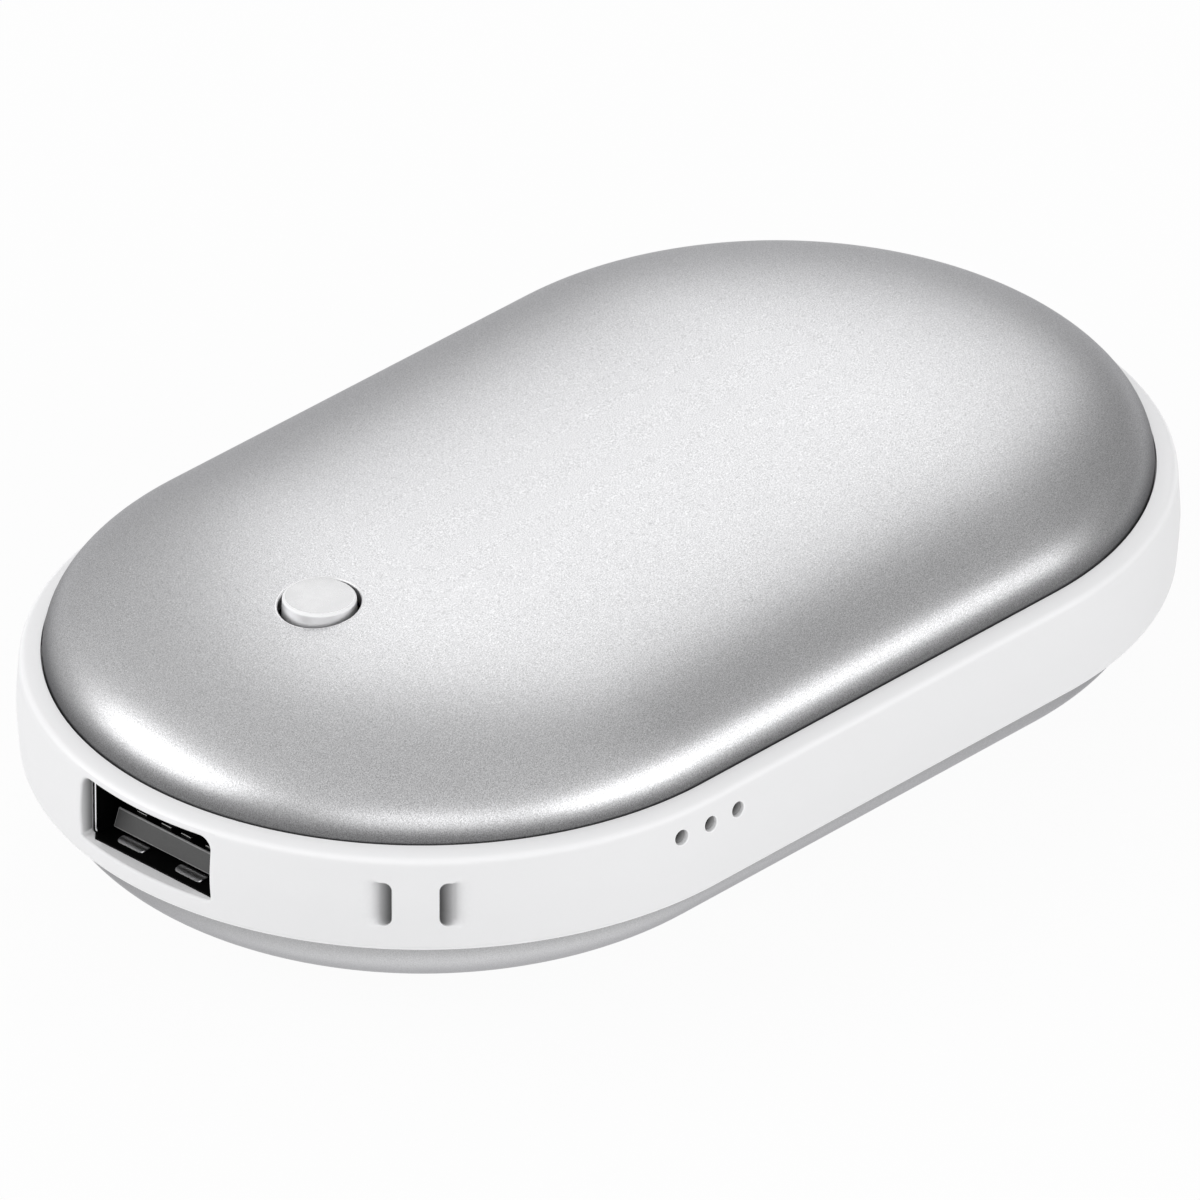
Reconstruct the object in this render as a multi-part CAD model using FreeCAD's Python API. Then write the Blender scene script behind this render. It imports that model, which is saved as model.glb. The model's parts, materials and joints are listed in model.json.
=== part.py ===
import FreeCAD, Part
import math
import os

# A pill-shaped rechargeable hand warmer, in millimetres.
# +X runs along the body away from the USB end, +Z points up through the button.
# The drawing level z = 0 is the middle of the white frame. Each piece is lifted on export so that
# the warmer stands on z = 0, with X and Y measured from its middle.

# Battery cells of size 18650, which set the room inside
CELL_DIAMETER = 18.3
CELL_LENGTH = 65.0
CELL_GAP = 0.1
CELL_EDGE_RADIUS = 0.9
CELL_NUB_RADIUS = 2.8
CELL_NUB_HEIGHT = 0.7

# Room kept round the cells
WIRING_ROOM = 5.55
BOARD_TO_CELL = 0.8
CELL_END_GAP = 1.48
SIDE_CHANNEL = 8.85
PACKING_ROOM = 1.85

# Middle frame
FRAME_WALL = 2.8
SHOULDER_OVER_USB = 0.8
SHOULDER_RADIUS = 1.1
SEAM_RISE = 0.45
SEAM_INSET = 1.85
LEDGE_DEPTH = 0.55
WALL_CROWN_RADIUS = 14.0
WALL_TILT = 4.0

# Metal shells
SHELL_WALL = 1.0
SHELL_GAP = 0.1
DOME_POWER = 2.1
REST_FLAT_DEPTH = 0.15

# Clip rings that hold the shells
GLUE_GAP = 0.05
CLIP_LIFT = 1.55
CLIP_HEIGHT = 1.3
CLIP_WALL = 0.8
HOOK_WIDTH = 5.0
HOOK_THICKNESS = 1.0
HOOK_INSET = 0.55
HOOK_BITE = 0.6
HOOK_TIP = 0.8
HOOK_BARB_HEIGHT = 1.1
HOOK_CLEARANCE = 0.2
HOOK_ROOT = 0.4
HOOK_COUNT = 2

# Circuit board
BOARD_THICKNESS = 1.2
BOARD_EDGE_GAP = 0.65
BOARD_ARM_MARGIN = 3.475
BOARD_ARM_GAP = 0.55
BOARD_SCREW_ANGLE = 56.0
BOARD_SCREW_BITE = 3.3

# USB-A output socket
USB_HEIGHT = 0.45
USB_MOUTH_INSET = 2.05
USB_INSIDE_WIDTH = 12.5
USB_INSIDE_HEIGHT = 5.12
USB_SHEET = 0.3
USB_DEPTH = 13.2
USB_CORNER = 0.5
USB_CUT_WIDTH = 13.1
USB_CUT_HEIGHT = 5.1
USB_CUT_CORNER = 0.6
USB_POCKET_GAP = 0.1
USB_TONGUE_SIDE = 0.7
USB_TONGUE_THICKNESS = 1.5
USB_TONGUE_INSET = 0.6
USB_BACK_BLOCK = 2.5
USB_CONTACT_WIDTH = 1.0
USB_CONTACT_THICKNESS = 0.2
USB_CONTACT_PLACES = (-3.5, -1.0, 1.0, 3.5)
USB_CONTACT_INSET = 1.3
USB_SPRING_WIDTH = 2.9
USB_SPRING_PLACES = (-3.05, 3.05)
USB_SPRING_RISE = 0.5
USB_SPRING_ROOM = 0.05
USB_SPRING_LENGTH = 4.0
USB_SPRING_INSET = 0.5

# Charging socket on the far long side
CHARGE_WIDTH = 7.5
CHARGE_HEIGHT = 2.5
CHARGE_SHEET = 0.25
CHARGE_DEPTH = 5.5
CHARGE_MOUTH_INSET = 0.7
CHARGE_CUT_GAP = 0.15
CHARGE_SLOPE = 0.9
CHARGE_CORNER = 0.35
CHARGE_TONGUE_WIDTH = 3.9
CHARGE_TONGUE_THICKNESS = 0.6
CHARGE_TONGUE_INSET = 0.8

# Indicator lights on the near long side
LIGHT_MIDDLE = 29.25
LIGHT_PITCH = 2.85
LIGHT_HOLE_RADIUS = 0.7
LIGHT_PRONG_GAP = 0.1
LIGHT_PRONG_RECESS = 0.65
LIGHT_BAR_WIDTH = 3.3
LED_LENGTH = 1.6
LED_WIDTH = 0.8
LED_HEIGHT = 0.8

# Lanyard bridge on the near corner
LANYARD_ANGLE = 43.0
LANYARD_HEIGHT = 0.22
LANYARD_SLOT_TALL = 3.5
LANYARD_BRIDGE = 3.6
LANYARD_SLOT_WIDE = 1.75
LANYARD_CENTRE_OUT = 2.0
LANYARD_CORNER = 0.6
LANYARD_BACKING = 1.4

# Push button and key switch
BUTTON_FROM_BOARD_EDGE = 1.7
BUTTON_HOLE_RADIUS = 3.1
BUTTON_GAP = 0.225
BUTTON_PROUD = 0.6
BUTTON_EDGE = 0.3
BUTTON_CROWN = 0.12
BUTTON_TRAVEL = 0.4
FLANGE_LIP = 0.6
FLANGE_THICKNESS = 0.7
FLANGE_CLEARANCE = 0.25
STEM_RADIUS = 1.5
STEM_GAP = 0.1
SWITCH_WELL_RADIUS = 1.5
SWITCH_WALL = 0.2
SWITCH_WIDTH = 6.0
SWITCH_FLOOR = 0.5
SWITCH_COVER = 0.2
TERMINAL_WIDTH = 0.7
TERMINAL_REACH = 1.0
TERMINAL_THICKNESS = 0.2
TERMINAL_SPACING = 2.2
SNAP_GAP = 0.1
SNAP_RISE = 0.6
SNAP_SHEET = 0.08
PLUNGER_RADIUS = 1.0
PLUNGER_GAP = 0.1
PLUNGER_FLANGE_GAP = 0.15
PLUNGER_FLANGE_HEIGHT = 0.35
PLUNGER_PLAY = 0.1
PLUNGER_PROUD = 1.3
GUIDE_WALL = 0.5
GUIDE_LEG = 1.3
GUIDE_TOP_THICKNESS = 0.8
GUIDE_PIN_RADIUS = 0.5
PIN_GAP = 0.05

# Battery tray, clamp and screws
TRAY_GAP = 0.1
TRAY_WALL = 0.9
TRAY_SHORT = 6.0
TRAY_STOP = 0.8
TRAY_STOP_GAP = 0.3
TRAY_NOTCH = 8.0
CLAMP_LEAD = 1.1
EAR_HALF_WIDTH = 2.4
EAR_THICKNESS = 1.2
EAR_TO_LIGHT = 4.6
EAR_FROM_BEND = 2.0
BOSS_RADIUS = 2.2
BOSS_ROOT = 0.4
BOSS_INSET = 2.6
BOSS_DEPTH = 2.0
TRAY_SCREW_BITE = 1.9
SCREW_RADIUS = 0.8
SCREW_HEAD_RADIUS = 1.3
SCREW_HEAD_HEIGHT = 0.9
SCREW_SLOT_WIDTH = 0.35
SCREW_SLOT_DEPTH = 0.35
PILOT_GAP = 0.02
PILOT_ROOM = 0.5
CLEARANCE_GAP = 0.1
STRIP_THICKNESS = 0.15
STRIP_WIDTH = 6.8
STRIP_PAST_POLE = 3.8
STOP_RIB_WIDTH = 2.0
STOP_RIB_GAP = 0.25

# Heaters, pads and sensors
FILM_THICKNESS = 0.3
FILM_RADIUS = 15.0
FILM_FROM_BUTTON = 12.9
PAD_RADIUS = 11.8
PAD_GAP = 0.05
PAD_TO_FILM = 0.2
SENSOR_RADIUS = 0.8
SENSOR_LENGTH = 3.0
SENSOR_ON_FILM = 2.0
SENSOR_TO_PAD = 2.0

# Leads
BATTERY_LEAD = 1.2
LEAD_VALLEY = 6.1
HEATER_LEAD = 1.0
HEATER_LEAD_SPREAD = 7.0
SENSOR_LEAD = 0.6
SENSOR_LEAD_SPREAD = 0.45
BEND_SHARE = 0.45

# Board parts under and over the board
COIL_SIZE = 7.2
COIL_HEIGHT = 4.0
COIL_CHAMFER = 1.2
COIL_PLACE = (11.8, 11.8)
CHIP_LENGTH = 5.0
CHIP_WIDTH = 4.0
CHIP_HEIGHT = 1.5
CHIP_PLACES = ((12.5, -11.2), (18.5, -11.2))
CAPACITOR_LENGTH = 2.0
CAPACITOR_WIDTH = 1.25
CAPACITOR_HEIGHT = 0.9
CAPACITOR_PLACES = ((6.0, 6.0), (6.0, -6.0), (9.0, 8.5), (9.0, -8.5), (9.0, 0.0), (12.0, 0.0))

# How far a cutting block runs past the face that it cuts, and the distance that counts as touching
OVERRUN = 1.0
TOUCHING = 1e-6

# Worked-out sizes: plan
CELL_RADIUS = CELL_DIAMETER / 2
CELL_OFFSET = CELL_RADIUS + CELL_GAP / 2
PACK_HALF_WIDTH = CELL_OFFSET + CELL_RADIUS
INNER_RADIUS = PACK_HALF_WIDTH + SIDE_CHANNEL
END_RADIUS = INNER_RADIUS + FRAME_WALL
PORT_ZONE = USB_MOUTH_INSET + USB_DEPTH + WIRING_ROOM
CELL_CORNER_DEPTH = END_RADIUS - math.sqrt(INNER_RADIUS ** 2 - PACK_HALF_WIDTH ** 2)
LENGTH = PORT_ZONE + BOARD_TO_CELL + CELL_LENGTH + CELL_END_GAP + CELL_CORNER_DEPTH
HALF_STRAIGHT = LENGTH / 2 - END_RADIUS
NEAR_END = -LENGTH / 2
SEAM_RADIUS = END_RADIUS - SEAM_INSET
SHELL_RADIUS = SEAM_RADIUS - SHELL_GAP
CAVITY_RADIUS = SHELL_RADIUS - SHELL_WALL

# Worked-out sizes: levels
SHOULDER_HEIGHT = USB_HEIGHT + USB_CUT_HEIGHT / 2 + SHOULDER_OVER_USB
SEAM_HEIGHT = SHOULDER_HEIGHT + SEAM_RISE
LEDGE_HEIGHT = SEAM_HEIGHT - LEDGE_DEPTH
CLIP_BOTTOM = SEAM_HEIGHT + CLIP_LIFT
TRAY_BORE = CELL_RADIUS + TRAY_GAP
TRAY_RADIUS = TRAY_BORE + TRAY_WALL
FILM_INSET = GLUE_GAP + FILM_THICKNESS
CROWN = TRAY_RADIUS + PACKING_ROOM + FILM_INSET + SHELL_WALL
LIFT = CROWN - REST_FLAT_DEPTH
SHELL_RISE = CROWN - SEAM_HEIGHT
CAVITY_RISE = SHELL_RISE - SHELL_WALL
SPLIT_HEIGHT = EAR_THICKNESS / 2

# Worked-out sizes: board, sockets and lights
BOARD_EDGE = NEAR_END + PORT_ZONE
BOARD_RADIUS = min(INNER_RADIUS, CAVITY_RADIUS) - BOARD_EDGE_GAP
USB_OUTSIDE_WIDTH = USB_INSIDE_WIDTH + 2 * USB_SHEET
USB_OUTSIDE_HEIGHT = USB_INSIDE_HEIGHT + 2 * USB_SHEET
USB_TONGUE_WIDTH = USB_INSIDE_WIDTH - 2 * USB_TONGUE_SIDE
USB_TONGUE_LIFT = USB_SPRING_RISE + USB_SPRING_ROOM
BOARD_BOTTOM = USB_HEIGHT + USB_OUTSIDE_HEIGHT / 2
BOARD_TOP = BOARD_BOTTOM + BOARD_THICKNESS
LIGHT_PRONG_RADIUS = LIGHT_HOLE_RADIUS - LIGHT_PRONG_GAP
LIGHT_HEIGHT = BOARD_BOTTOM - LED_HEIGHT - PIN_GAP - LIGHT_PRONG_RADIUS
LIGHT_X = NEAR_END + LIGHT_MIDDLE
LIGHT_END = LIGHT_X + LIGHT_PITCH * 1.5

# Worked-out sizes: button and switch
BUTTON_X = BOARD_EDGE - BUTTON_FROM_BOARD_EDGE
FLANGE_RADIUS = BUTTON_HOLE_RADIUS + FLANGE_LIP
SWITCH_LENGTH = 2 * (SWITCH_WELL_RADIUS + SWITCH_WALL)
SWITCH_HEIGHT = SWITCH_FLOOR + SNAP_RISE + PIN_GAP + PLUNGER_FLANGE_HEIGHT + PLUNGER_PLAY
SNAP_RADIUS = SWITCH_WELL_RADIUS - SNAP_GAP
PLUNGER_FLANGE_RADIUS = SWITCH_WELL_RADIUS - PLUNGER_FLANGE_GAP
PLUNGER_TOP = SWITCH_HEIGHT + SWITCH_COVER + PLUNGER_PROUD
GUIDE_LENGTH = 2 * (STEM_RADIUS + STEM_GAP + GUIDE_WALL)

# Worked-out sizes: battery pack, heaters and sensors
CELL_START = BOARD_EDGE + BOARD_TO_CELL
CELL_END = CELL_START + CELL_LENGTH
TRAY_END = CELL_END - TRAY_SHORT
TRAY_NEAR = CELL_START - STRIP_THICKNESS - TRAY_STOP_GAP - TRAY_STOP
EAR_NEAR = LIGHT_END + EAR_TO_LIGHT
EAR_STATIONS = (EAR_NEAR + EAR_HALF_WIDTH, HALF_STRAIGHT - EAR_FROM_BEND)
EAR_Y = INNER_RADIUS - BOSS_INSET
STRIP_REACH = CELL_OFFSET + STRIP_PAST_POLE
FILM_START = BUTTON_X + FILM_FROM_BUTTON
SENSOR_START = FILM_START + SENSOR_ON_FILM
PAD_START = SENSOR_START + SENSOR_LENGTH + SENSOR_TO_PAD


def vec(x, y, z):
    return FreeCAD.Vector(x, y, z)


def box(x0, x1, y0, y1, z0, z1):
    return Part.makeBox(x1 - x0, y1 - y0, z1 - z0, vec(x0, y0, z0))


def post(x, y, z0, z1, radius):
    return Part.makeCylinder(radius, z1 - z0, vec(x, y, z0), vec(0, 0, 1))


def rod(start, end, radius):
    run = end - start
    return Part.makeCylinder(radius, run.Length, start, run)


def flipped(shape):
    """The same piece on the underside of the warmer."""
    return shape.mirror(vec(0, 0, 0), vec(0, 0, 1))


def one_solid(shape):
    return shape.removeSplitter().Solids[0]


def rounded_wire(corners, lay):
    """A closed outline of (u, v, radius) corners; lay turns (u, v) into a point in space."""
    count = len(corners)
    edges = []
    ends = []
    for i in range(count):
        u, v, radius = corners[i]
        here = lay(u, v)
        before = (lay(*corners[i - 1][:2]) - here).normalize()
        after = (lay(*corners[(i + 1) % count][:2]) - here).normalize()
        if radius == 0:
            ends.append((here, here))
            continue
        half = before.getAngle(after) / 2
        reach = radius / math.tan(half)
        bisector = (before + after).normalize()
        middle = here + bisector * (radius / math.sin(half) - radius)
        first = here + before * reach
        last = here + after * reach
        edges.append(Part.Arc(first, middle, last).toShape())
        ends.append((first, last))
    for i in range(count):
        start = ends[i][1]
        finish = ends[(i + 1) % count][0]
        if start.distanceToPoint(finish) > TOUCHING:
            edges.append(Part.makeLine(start, finish))
    return Part.Wire(Part.__sortEdges__(edges))


def radial(rho, z):
    """A point of a section, on the +X side of the upright axis."""
    return vec(rho, 0, z)


def swept_round(section):
    """Carry a radial section once round the pill-shaped plan."""
    pieces = []
    for side in (1, -1):
        turned = section.copy()
        turned.rotate(vec(0, 0, 0), vec(0, 0, 1), -90 * side)
        end = turned.copy()
        end.translate(vec(side * HALF_STRAIGHT, 0, 0))
        pieces.append(end.revolve(vec(side * HALF_STRAIGHT, 0, 0), vec(0, 0, 1), 180))
        turned.translate(vec(-HALF_STRAIGHT, 0, 0))
        pieces.append(turned.extrude(vec(2 * HALF_STRAIGHT, 0, 0)))
    return one_solid(pieces[0].fuse(pieces[1:]))


def pill_slab(radius, z0, z1):
    """A flat slab with the pill-shaped plan at a given end radius."""
    ends = [post(side * HALF_STRAIGHT, 0, z0, z1, radius) for side in (1, -1)]
    middle = box(-HALF_STRAIGHT, HALF_STRAIGHT, -radius, radius, z0, z1)
    return one_solid(middle.fuse(ends))


def dome_height(rho, radius, rise):
    return SEAM_HEIGHT + rise * (1 - (rho / radius) ** DOME_POWER) ** (1 / DOME_POWER)


def dome_radius(z, radius, rise):
    return radius * (1 - ((z - SEAM_HEIGHT) / rise) ** DOME_POWER) ** (1 / DOME_POWER)


def dome_curve(radius, rise, steps=12):
    """The dome's outline from the seam up to the crown, a superellipse quarter."""
    points = []
    for i in range(steps + 1):
        angle = math.pi / 2 * i / steps
        rho = radius * math.cos(angle) ** (2 / DOME_POWER) if i < steps else 0.0
        z = SEAM_HEIGHT + rise * math.sin(angle) ** (2 / DOME_POWER)
        points.append(radial(rho, z))
    curve = Part.BSplineCurve()
    ends = {"InitialTangent": vec(0, 0, 1), "FinalTangent": vec(-1, 0, 0), "Scale": False}
    curve.interpolate(Points=points, **ends)
    return curve.toShape()


def dome_shell():
    """A pressed metal half: a dome with a short skirt that stands on the frame's ledge."""
    outer = dome_curve(SHELL_RADIUS, SHELL_RISE)
    inner = dome_curve(CAVITY_RADIUS, CAVITY_RISE)
    crown_out = radial(0, CROWN)
    crown_in = radial(0, CROWN - SHELL_WALL)
    skirt = [
        radial(CAVITY_RADIUS, SEAM_HEIGHT),
        radial(CAVITY_RADIUS, LEDGE_HEIGHT),
        radial(SHELL_RADIUS, LEDGE_HEIGHT),
        radial(SHELL_RADIUS, SEAM_HEIGHT),
    ]
    lines = [Part.makeLine(skirt[i], skirt[i + 1]) for i in range(3)]
    lines.append(Part.makeLine(crown_out, crown_in))
    section = Part.Face(Part.Wire(Part.__sortEdges__([outer, inner] + lines)))
    return swept_round(section)


def top_shell():
    hole = post(BUTTON_X, 0, SEAM_HEIGHT, CROWN + OVERRUN, BUTTON_HOLE_RADIUS)
    return one_solid(dome_shell().cut(hole))


def bottom_shell():
    """The lower half has a small flat along its crown, on which the warmer lies."""
    slab = box(-LENGTH, LENGTH, -END_RADIUS, END_RADIUS, -CROWN - OVERRUN, -LIFT)
    return one_solid(flipped(dome_shell()).cut(slab))


def clip_ring():
    """A plastic ring glued inside a shell, with hooks that snap into the frame."""
    radius = CAVITY_RADIUS - GLUE_GAP
    rise = CAVITY_RISE - GLUE_GAP
    top = CLIP_BOTTOM + CLIP_HEIGHT
    inner = dome_radius(top, radius, rise) - CLIP_WALL
    levels = [CLIP_BOTTOM + CLIP_HEIGHT * i / 3 for i in range(4)]
    curve = Part.BSplineCurve()
    curve.interpolate(Points=[radial(dome_radius(z, radius, rise), z) for z in levels])
    corners = [curve.EndPoint, radial(inner, top), radial(inner, CLIP_BOTTOM), curve.StartPoint]
    lines = [Part.makeLine(corners[i], corners[i + 1]) for i in range(3)]
    ring = swept_round(Part.Face(Part.Wire(Part.__sortEdges__([curve.toShape()] + lines))))
    return one_solid(ring.fuse(clip_hooks(inner)))


def hook_stations():
    """Hooks spread evenly along the straight side, between the two ears of the tray."""
    first = EAR_STATIONS[0] + EAR_HALF_WIDTH
    last = EAR_STATIONS[1] - EAR_HALF_WIDTH
    space = (last - first - HOOK_COUNT * HOOK_WIDTH) / (HOOK_COUNT + 1)
    return [first + space + HOOK_WIDTH / 2 + i * (space + HOOK_WIDTH) for i in range(HOOK_COUNT)]


def clip_hooks(ring_inner):
    outer = CAVITY_RADIUS - HOOK_INSET
    half = HOOK_WIDTH / 2
    hooks = []
    for x in hook_stations():
        arm = box(x - half, x + half, outer - HOOK_THICKNESS, outer, HOOK_TIP, CLIP_BOTTOM)
        root_top = CLIP_BOTTOM + HOOK_ROOT
        root_outer = dome_radius(root_top, CAVITY_RADIUS - GLUE_GAP, CAVITY_RISE - GLUE_GAP)
        root = box(x - half, x + half, ring_inner, min(outer, root_outer), CLIP_BOTTOM, root_top)
        barb_tip = INNER_RADIUS + HOOK_BITE
        barb = Part.Face(Part.makePolygon([
            vec(x - half, outer - HOOK_THICKNESS, HOOK_TIP),
            vec(x - half, barb_tip, HOOK_TIP + HOOK_BARB_HEIGHT / 2),
            vec(x - half, barb_tip, HOOK_TIP + HOOK_BARB_HEIGHT),
            vec(x - half, outer - HOOK_THICKNESS, HOOK_TIP + HOOK_BARB_HEIGHT),
            vec(x - half, outer - HOOK_THICKNESS, HOOK_TIP),
        ])).extrude(vec(HOOK_WIDTH, 0, 0))
        hook = arm.fuse([barb, root])
        hooks.append(hook)
        hooks.append(hook.mirror(vec(0, 0, 0), vec(0, 1, 0)))
    return hooks


def frame_section():
    """The wall in section: crowned outside, sloping in from a soft shoulder to either seam."""
    tilt = math.radians(WALL_TILT)
    seam = SEAM_RADIUS
    ridge = END_RADIUS + WALL_CROWN_RADIUS * (1 / math.cos(tilt) - 1)
    shoulder = ridge - SHOULDER_HEIGHT * math.tan(tilt)
    corners = [
        (seam, SEAM_HEIGHT, 0),
        (shoulder, SHOULDER_HEIGHT, SHOULDER_RADIUS),
        (ridge, 0, WALL_CROWN_RADIUS),
        (shoulder, -SHOULDER_HEIGHT, SHOULDER_RADIUS),
        (seam, -SEAM_HEIGHT, 0),
        (seam, -LEDGE_HEIGHT, 0),
        (INNER_RADIUS, -LEDGE_HEIGHT, 0),
        (INNER_RADIUS, LEDGE_HEIGHT, 0),
        (seam, LEDGE_HEIGHT, 0),
    ]
    return Part.Face(rounded_wire(corners, radial))


def end_point(angle, rho, side):
    """A point in plan at the USB end, at an angle from -X towards -Y (side -1) or +Y (side 1)."""
    turn = math.radians(angle)
    return (-HALF_STRAIGHT - rho * math.cos(turn), side * rho * math.sin(turn))


def end_plate(width, height, corner, x, z):
    """A rounded rectangle that faces along X."""
    half = width / 2
    tall = height / 2
    corners = [(-half, -tall, corner), (half, -tall, corner), (half, tall, corner), (-half, tall, corner)]
    return Part.Face(rounded_wire(corners, lambda u, v: vec(x, u, z + v)))


def lanyard_tunnel():
    """A curved passage behind the bridge, open at a slot on either side of it."""
    reach = LANYARD_BRIDGE / 2
    inner = math.hypot(reach, LANYARD_CENTRE_OUT)
    outer = math.hypot(reach + LANYARD_SLOT_WIDE, LANYARD_CENTRE_OUT)
    tall = LANYARD_SLOT_TALL / 2
    corners = [
        (inner, -tall, LANYARD_CORNER),
        (outer, -tall, LANYARD_CORNER),
        (outer, tall, LANYARD_CORNER),
        (inner, tall, LANYARD_CORNER),
    ]
    section = Part.Face(rounded_wire(corners, radial))
    ring = section.revolve(vec(0, 0, 0), vec(0, 0, 1), 360)
    x, y = end_point(LANYARD_ANGLE, END_RADIUS + LANYARD_CENTRE_OUT, -1)
    ring.translate(vec(x, y, LANYARD_HEIGHT))
    return ring


def lanyard_backing():
    """Extra wall behind the lanyard passage."""
    spread = math.degrees((LANYARD_BRIDGE / 2 + LANYARD_SLOT_WIDE + LANYARD_BACKING) / INNER_RADIUS)
    tall = LANYARD_SLOT_TALL / 2 + LANYARD_CORNER
    inner = INNER_RADIUS - LANYARD_BACKING
    wall = INNER_RADIUS + FRAME_WALL / 2
    block = Part.Face(Part.makePolygon([
        radial(inner, LANYARD_HEIGHT - tall),
        radial(wall, LANYARD_HEIGHT - tall),
        radial(wall, LANYARD_HEIGHT + tall),
        radial(inner, LANYARD_HEIGHT + tall),
        radial(inner, LANYARD_HEIGHT - tall),
    ]))
    block.rotate(vec(0, 0, 0), vec(0, 0, 1), 180 + LANYARD_ANGLE - spread)
    backing = block.revolve(vec(0, 0, 0), vec(0, 0, 1), 2 * spread)
    backing.translate(vec(-HALF_STRAIGHT, 0, 0))
    return backing


def board_screw_places():
    rho = INNER_RADIUS + BOSS_ROOT - BOSS_RADIUS
    return [end_point(BOARD_SCREW_ANGLE, rho, side) for side in (1, -1)]


def ear_places():
    return [(x, side * EAR_Y) for x in EAR_STATIONS for side in (1, -1)]


def light_places():
    return [LIGHT_X + LIGHT_PITCH * i for i in (-1, 0, 1)]


def frame_bosses():
    """Screw bosses for the board and the tray, and ribs that stop the cells."""
    wall = INNER_RADIUS + FRAME_WALL / 2
    solids = []
    for x, y in board_screw_places():
        tower = post(x, y, -LEDGE_HEIGHT, BOARD_BOTTOM, BOSS_RADIUS)
        solids.append(tower)
    for x, y in ear_places():
        top = -SPLIT_HEIGHT
        side = math.copysign(1, y)
        solids.append(post(x, y, top - BOSS_DEPTH, top, BOSS_RADIUS))
        low, high = sorted((y, side * wall))
        solids.append(box(x - BOSS_RADIUS, x + BOSS_RADIUS, low, high, top - BOSS_DEPTH, top))
    rib_face = CELL_END + STRIP_THICKNESS + STOP_RIB_GAP
    for side in (1, -1):
        middle = side * CELL_OFFSET
        low = middle - STOP_RIB_WIDTH / 2
        high = middle + STOP_RIB_WIDTH / 2
        rib_end = HALF_STRAIGHT + math.sqrt(wall ** 2 - CELL_OFFSET ** 2)
        solids.append(box(rib_face, rib_end, low, high, -LEDGE_HEIGHT, LEDGE_HEIGHT))
    return solids


def frame_pilots():
    radius = SCREW_RADIUS + PILOT_GAP
    low = BOARD_BOTTOM - BOARD_SCREW_BITE - PILOT_ROOM
    holes = [post(x, y, low, BOARD_BOTTOM + OVERRUN, radius) for x, y in board_screw_places()]
    top = -SPLIT_HEIGHT
    holes += [post(x, y, top - BOSS_DEPTH - OVERRUN, top + OVERRUN, radius) for x, y in ear_places()]
    return holes


def frame_ports():
    """The openings through the frame's wall for the sockets and the lights."""
    usb = end_plate(USB_CUT_WIDTH, USB_CUT_HEIGHT, USB_CUT_CORNER, NEAR_END - OVERRUN, USB_HEIGHT)
    mouth = NEAR_END + USB_MOUTH_INSET
    pocket = end_plate(
        USB_OUTSIDE_WIDTH + 2 * USB_POCKET_GAP,
        USB_OUTSIDE_HEIGHT + 2 * USB_POCKET_GAP,
        USB_CORNER, mouth - USB_POCKET_GAP, USB_HEIGHT)
    cuts = [usb.extrude(vec(USB_DEPTH, 0, 0)), pocket.extrude(vec(USB_DEPTH, 0, 0))]
    charge = charge_outline(CHARGE_CUT_GAP, END_RADIUS + OVERRUN)
    cuts.append(charge.extrude(vec(0, -CHARGE_DEPTH, 0)))
    for x in light_places():
        start = vec(x, -INNER_RADIUS + FRAME_WALL, LIGHT_HEIGHT)
        cuts.append(rod(start, vec(x, -END_RADIUS - OVERRUN, LIGHT_HEIGHT), LIGHT_HOLE_RADIUS))
    return cuts


def hook_pockets():
    """Blind pockets in the frame's inner wall for the hooks of both clip rings."""
    half = HOOK_WIDTH / 2 + HOOK_CLEARANCE
    outer = INNER_RADIUS + HOOK_BITE + HOOK_CLEARANCE
    low = HOOK_TIP - HOOK_CLEARANCE
    high = HOOK_TIP + HOOK_BARB_HEIGHT + HOOK_CLEARANCE
    pockets = []
    for x in hook_stations():
        for side in (1, -1):
            y0, y1 = sorted((side * (INNER_RADIUS - OVERRUN), side * outer))
            pocket = box(x - half, x + half, y0, y1, low, high)
            pockets += [pocket, flipped(pocket)]
    return pockets


def middle_frame():
    frame = swept_round(frame_section())
    frame = frame.fuse(frame_bosses() + [lanyard_backing()])
    frame = frame.cut(frame_ports() + frame_pilots() + hook_pockets())
    return one_solid(frame.cut(lanyard_tunnel()))


def main_board():
    """A board at the USB end with an arm along each long side."""
    slab = pill_slab(BOARD_RADIUS, BOARD_BOTTOM, BOARD_TOP)
    arm_end = LIGHT_END + BOARD_ARM_MARGIN
    kept = slab.common(box(NEAR_END, arm_end, -END_RADIUS, END_RADIUS, BOARD_BOTTOM, BOARD_TOP))
    arm_inner = CELL_OFFSET + TRAY_RADIUS + BOARD_ARM_GAP
    low = BOARD_BOTTOM - OVERRUN
    high = BOARD_TOP + OVERRUN
    bay = box(BOARD_EDGE, arm_end + OVERRUN, -arm_inner, arm_inner, low, high)
    holes = [post(x, y, low, high, SCREW_RADIUS + CLEARANCE_GAP) for x, y in board_screw_places()]
    holes += [post(x, y, low, high, GUIDE_PIN_RADIUS + PIN_GAP) for x, y in guide_pin_places()]
    return one_solid(kept.cut([bay] + holes))


def screws(places, seat, tip):
    """Slotted pan-head screws whose heads stand on the seat level."""
    solids = []
    for x, y in places:
        head = post(x, y, seat, seat + SCREW_HEAD_HEIGHT, SCREW_HEAD_RADIUS)
        slot = box(x - SCREW_HEAD_RADIUS, x + SCREW_HEAD_RADIUS,
                   y - SCREW_SLOT_WIDTH / 2, y + SCREW_SLOT_WIDTH / 2,
                   seat + SCREW_HEAD_HEIGHT - SCREW_SLOT_DEPTH, seat + SCREW_HEAD_HEIGHT)
        shank = post(x, y, tip, seat, SCREW_RADIUS)
        solids.append(one_solid(head.fuse(shank).cut(slot)))
    return solids


def board_screws():
    return screws(board_screw_places(), BOARD_TOP, BOARD_BOTTOM - BOARD_SCREW_BITE)


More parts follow.
